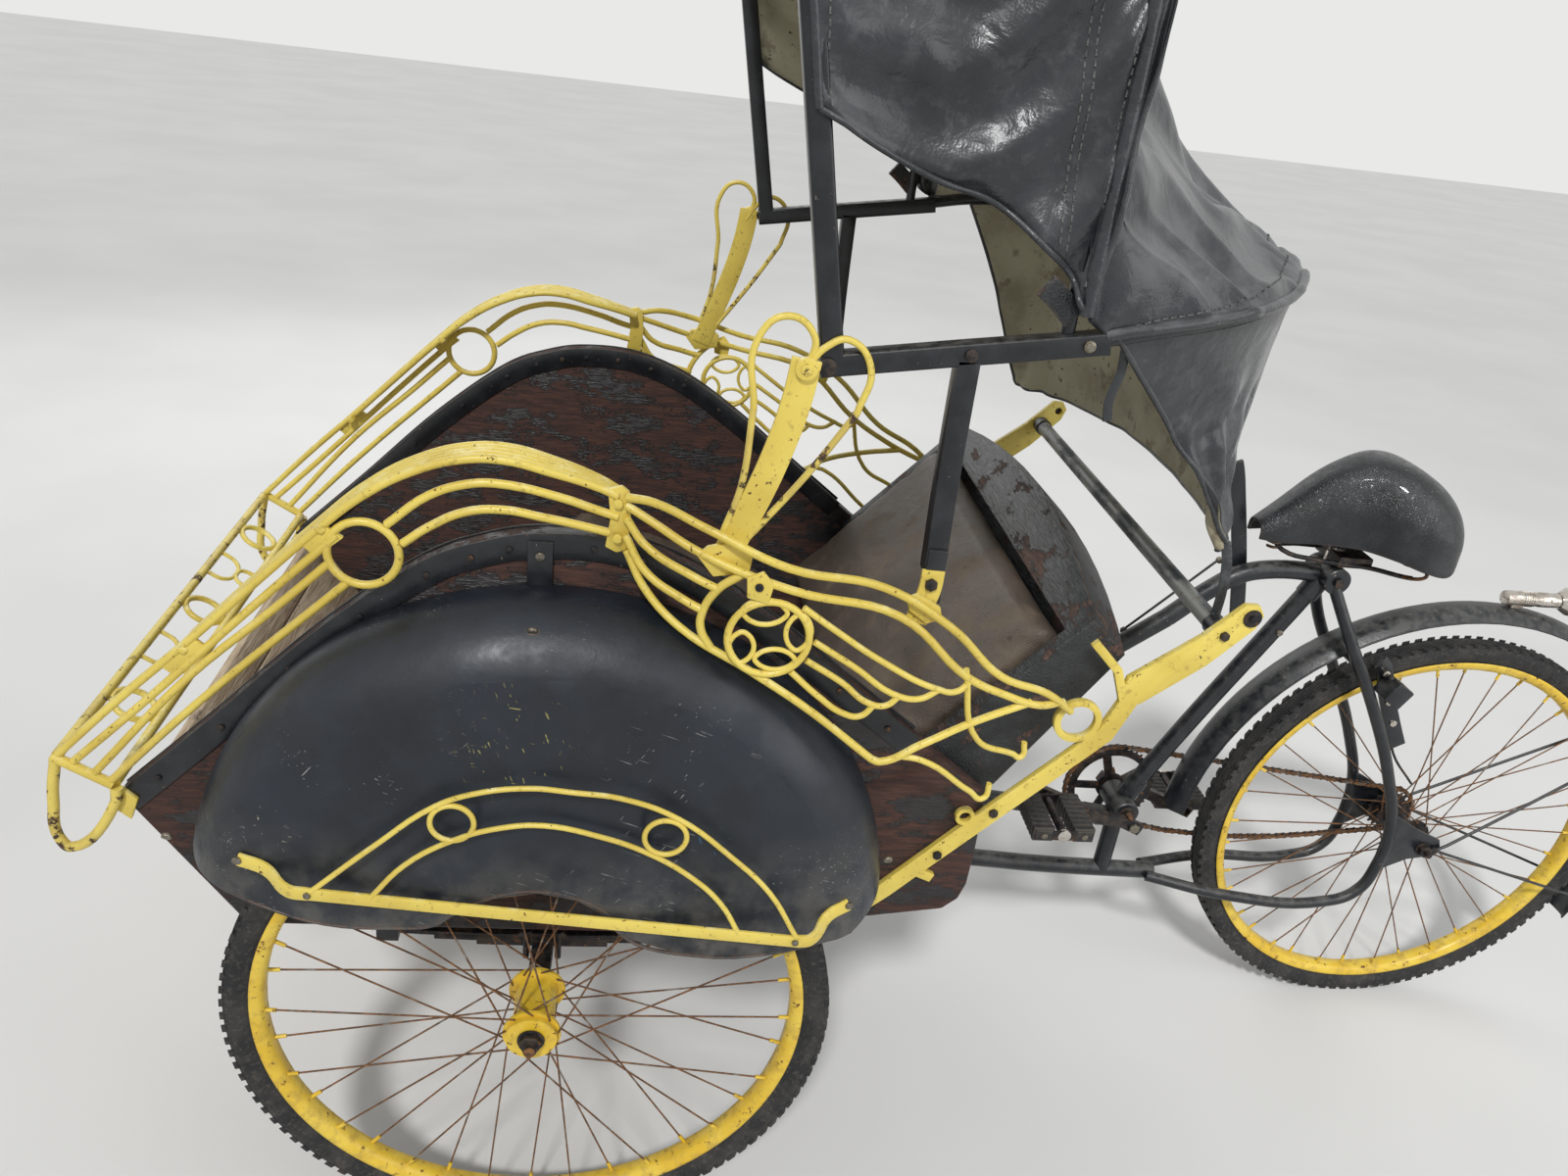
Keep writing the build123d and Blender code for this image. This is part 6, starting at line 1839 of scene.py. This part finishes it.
def make_curtain():
    """The curtain below the hoop, its near corner drawn in and strapped down."""
    top, hem = [], []
    for turn, x, y, z in CURTAIN_HEM:
        top.append(hoop_at(turn, 6, -3))
        hem.append((x, y, z))
    rows = [top]
    for share in (0.25, 0.5, 0.75):
        row = []
        for k, (a, b) in enumerate(zip(top, hem)):
            bowed = 22 * math.sin(math.pi * share)
            inward = Vector((700 - a[0], -a[1], 0)).normalized() * bowed * (0.5 if 2 < k < 7 else 1.0)
            row.append(tuple(a[m] + (b[m] - a[m]) * share + inward[m] for m in range(3)))
        rows.append(row)
    rows.append(hem)

    def folds(u, v, place):
        wander = ripple(place, 80, 4.4)
        near = math.exp(-((u - 0.1) / 0.16) ** 2) + 0.75 * math.exp(-((u - 0.93) / 0.1) ** 2)
        pleat = 14 * fade(v, 0.1, 0.7) * near * (ridge(u * 60 + wander * 2.5 - v * 2, 1.7) - 0.4)
        slack = 7 * fade(v, 0.0, 0.5) * (ridge(u * 21 + wander * 3, 1.2) - 0.5)
        sideways = 5 * math.sin(v * 11 + u * 9 + wander * 4) * near * fade(v, 0.2, 0.6)
        return pleat + slack + sideways

    curtain, grid = skin("rear_curtain_cloth", rows, CURTAIN_COLUMNS, CURTAIN_ROWS, folds)
    area = cloth_area(curtain)
    curtain.data.materials.append(HOOD)
    curtain.data.materials.append(LINING)
    return curtain, grid, area


curtain, curtain_grid, curtain_area = make_curtain()
thick_cloth(curtain, 2.0, at(800, 0, 1100))
binding = [row[0] for row in curtain_grid] + curtain_grid[-1][1:]
binding += [row[-1] for row in curtain_grid[-2::-1]]
parts = [rod(binding[::5], 6, HOOD, turns=2)]
parts.append(flat_strip([(650, 336, 986), (644, 340, 960), (640, 341, 925), (640, 342, 897)], 12, 2.5, HOOD))
parts.append(rod([(640, 342, 899), (629, 342, 888), (639, 342, 875), (651, 342, 886), (642, 343, 899)],
                 4, HOOD))
parts.append(flat_strip([(845, 392, 1208), (842, 388, 1180), (846, 386, 1150), (842, 384, 1128)],
                        10, 2, HOOD))
bindings = placed(joined("curtain_binding", parts), "cabin")
placed(curtain, "cabin", "rear_curtain")


# Cushions

def puffed(piece, voxel_mm, swell_mm, pressure=4.0):
    """Foam under a cover: the form is blown up a little by cloth simulation, and eased back to a cap."""
    only(piece)
    piece.data.remesh_voxel_size = voxel_mm / 1000
    bpy.ops.object.voxel_remesh()
    before = [corner.co.copy() for corner in piece.data.vertices]
    step = piece.modifiers.new("cover", "CLOTH")
    step.settings.use_pressure = True
    step.settings.uniform_pressure_force = pressure
    step.settings.effector_weights.gravity = 0
    step.settings.quality = 4
    scene = bpy.context.scene
    for k in range(1, 17):
        scene.frame_set(k)
    bpy.ops.object.modifier_apply(modifier=step.name)
    scene.frame_set(1)
    for corner, place in zip(piece.data.vertices, before):
        move = corner.co - place
        if move.length > swell_mm / 1000:
            corner.co = place + move.normalized() * (swell_mm / 1000)
    applied(piece, "SMOOTH", factor=0.5, iterations=4)
    applied(piece, "SUBSURF", levels=1, render_levels=1)
    only(piece)
    bpy.ops.object.shade_smooth()
    return piece


def slab(outline, half, finish, name):
    """A pad from its end outline in x and z: extruded along y, its corners rounded."""
    pad = loop_of([(x, -half, z) for x, z in outline], "NGON")
    editing()
    bpy.ops.mesh.extrude_region_move(TRANSFORM_OT_translate={"value": (0, 2 * half / 1000, 0)})
    facing_out()
    applied(pad, "BEVEL", width=0.016, segments=3, limit_method="ANGLE", angle_limit=math.radians(40))
    pad.name = name
    return painted(pad, finish)


def seat_point(back, above):
    drop = math.radians(16.2)
    return (1417 - back * math.cos(drop) - above * math.sin(drop),
            612 - back * math.sin(drop) + above * math.cos(drop))


def back_point(along, behind):
    lean = math.radians(132.2)
    return (958 + along * math.cos(lean) - behind * math.sin(lean),
            708 + along * math.sin(lean) + behind * math.cos(lean))


seat_outline = [seat_point(-14, 84), seat_point(150, 88), seat_point(328, 84), seat_point(328, 3),
                seat_point(-14, 3)]
seat_pad = puffed(slab(seat_outline, 322, VINYL, "seat_cushion_pad"), 7, 8)
placed(seat_pad, "cabin", "seat_cushion")

back_outline = [back_point(-136, 4), back_point(206, 4), back_point(206, 46), back_point(-60, 54),
                back_point(-136, 46)]
back_pad = puffed(slab(back_outline, 314, VINYL, "back_cushion_pad"), 7, 9)
placed(back_pad, "cabin", "back_cushion")


# Light and floor

def lamp(name, kind, place, energy, size, look):
    """A lamp that looks at a place; its size is metres across, or degrees for the sun."""
    made = bpy.data.lights.new(name, kind)
    made.energy = energy
    if kind == "AREA":
        made.size = size
    else:
        made.angle = math.radians(size)
    holder = bpy.data.objects.new(name, made)
    bpy.context.scene.collection.objects.link(holder)
    holder.location = place
    holder.rotation_euler = (Vector(look) - Vector(place)).to_track_quat("-Z", "Y").to_euler()


middle = (0.2, 0.0, 0.7)
lamp("key", "SUN", (0.9, 2.6, 3.6), 1.9, 7, middle)
lamp("fill", "AREA", (-2.6, 2.4, 2.2), 42, 3.0, middle)
lamp("back", "AREA", (1.4, -3.2, 2.8), 38, 3.0, middle)

world = bpy.data.worlds.new("pale_room")
bpy.context.scene.world = world
world.use_nodes = True
sky = world.node_tree
paths = sky.nodes.new("ShaderNodeLightPath")
plain = sky.nodes["Background"]
plain.inputs["Color"].default_value = linear("#D8DBDF")
plain.inputs["Strength"].default_value = 0.5
white = sky.nodes.new("ShaderNodeBackground")
white.inputs["Color"].default_value = linear("#E9E9E7")
white.inputs["Strength"].default_value = 1.0
seen = add(sky, "ShaderNodeMath", {0: paths.outputs["Is Camera Ray"], 1: paths.outputs["Is Glossy Ray"]},
           operation="MAXIMUM")
both = sky.nodes.new("ShaderNodeMixShader")
sky.links.new(seen, both.inputs[0])
sky.links.new(plain.outputs[0], both.inputs[1])
sky.links.new(white.outputs[0], both.inputs[2])
sky.links.new(both.outputs[0], sky.nodes["World Output"].inputs["Surface"])

off()
bpy.ops.mesh.primitive_plane_add(size=40, location=(0, 0, 0))
floor = bpy.context.object
floor.name = "floor"
plaster, tree, shader, place = material("pale_floor")
tree.links.new(over(tree, spots(tree, place, 900, 0.3, 0.7, 2), "#DCDBD8", "#E2E1DE"),
               shader.inputs["Base Color"])
shader.inputs["Roughness"].default_value = 0.85
painted(floor, plaster)

bpy.context.scene.view_settings.view_transform = "Standard"
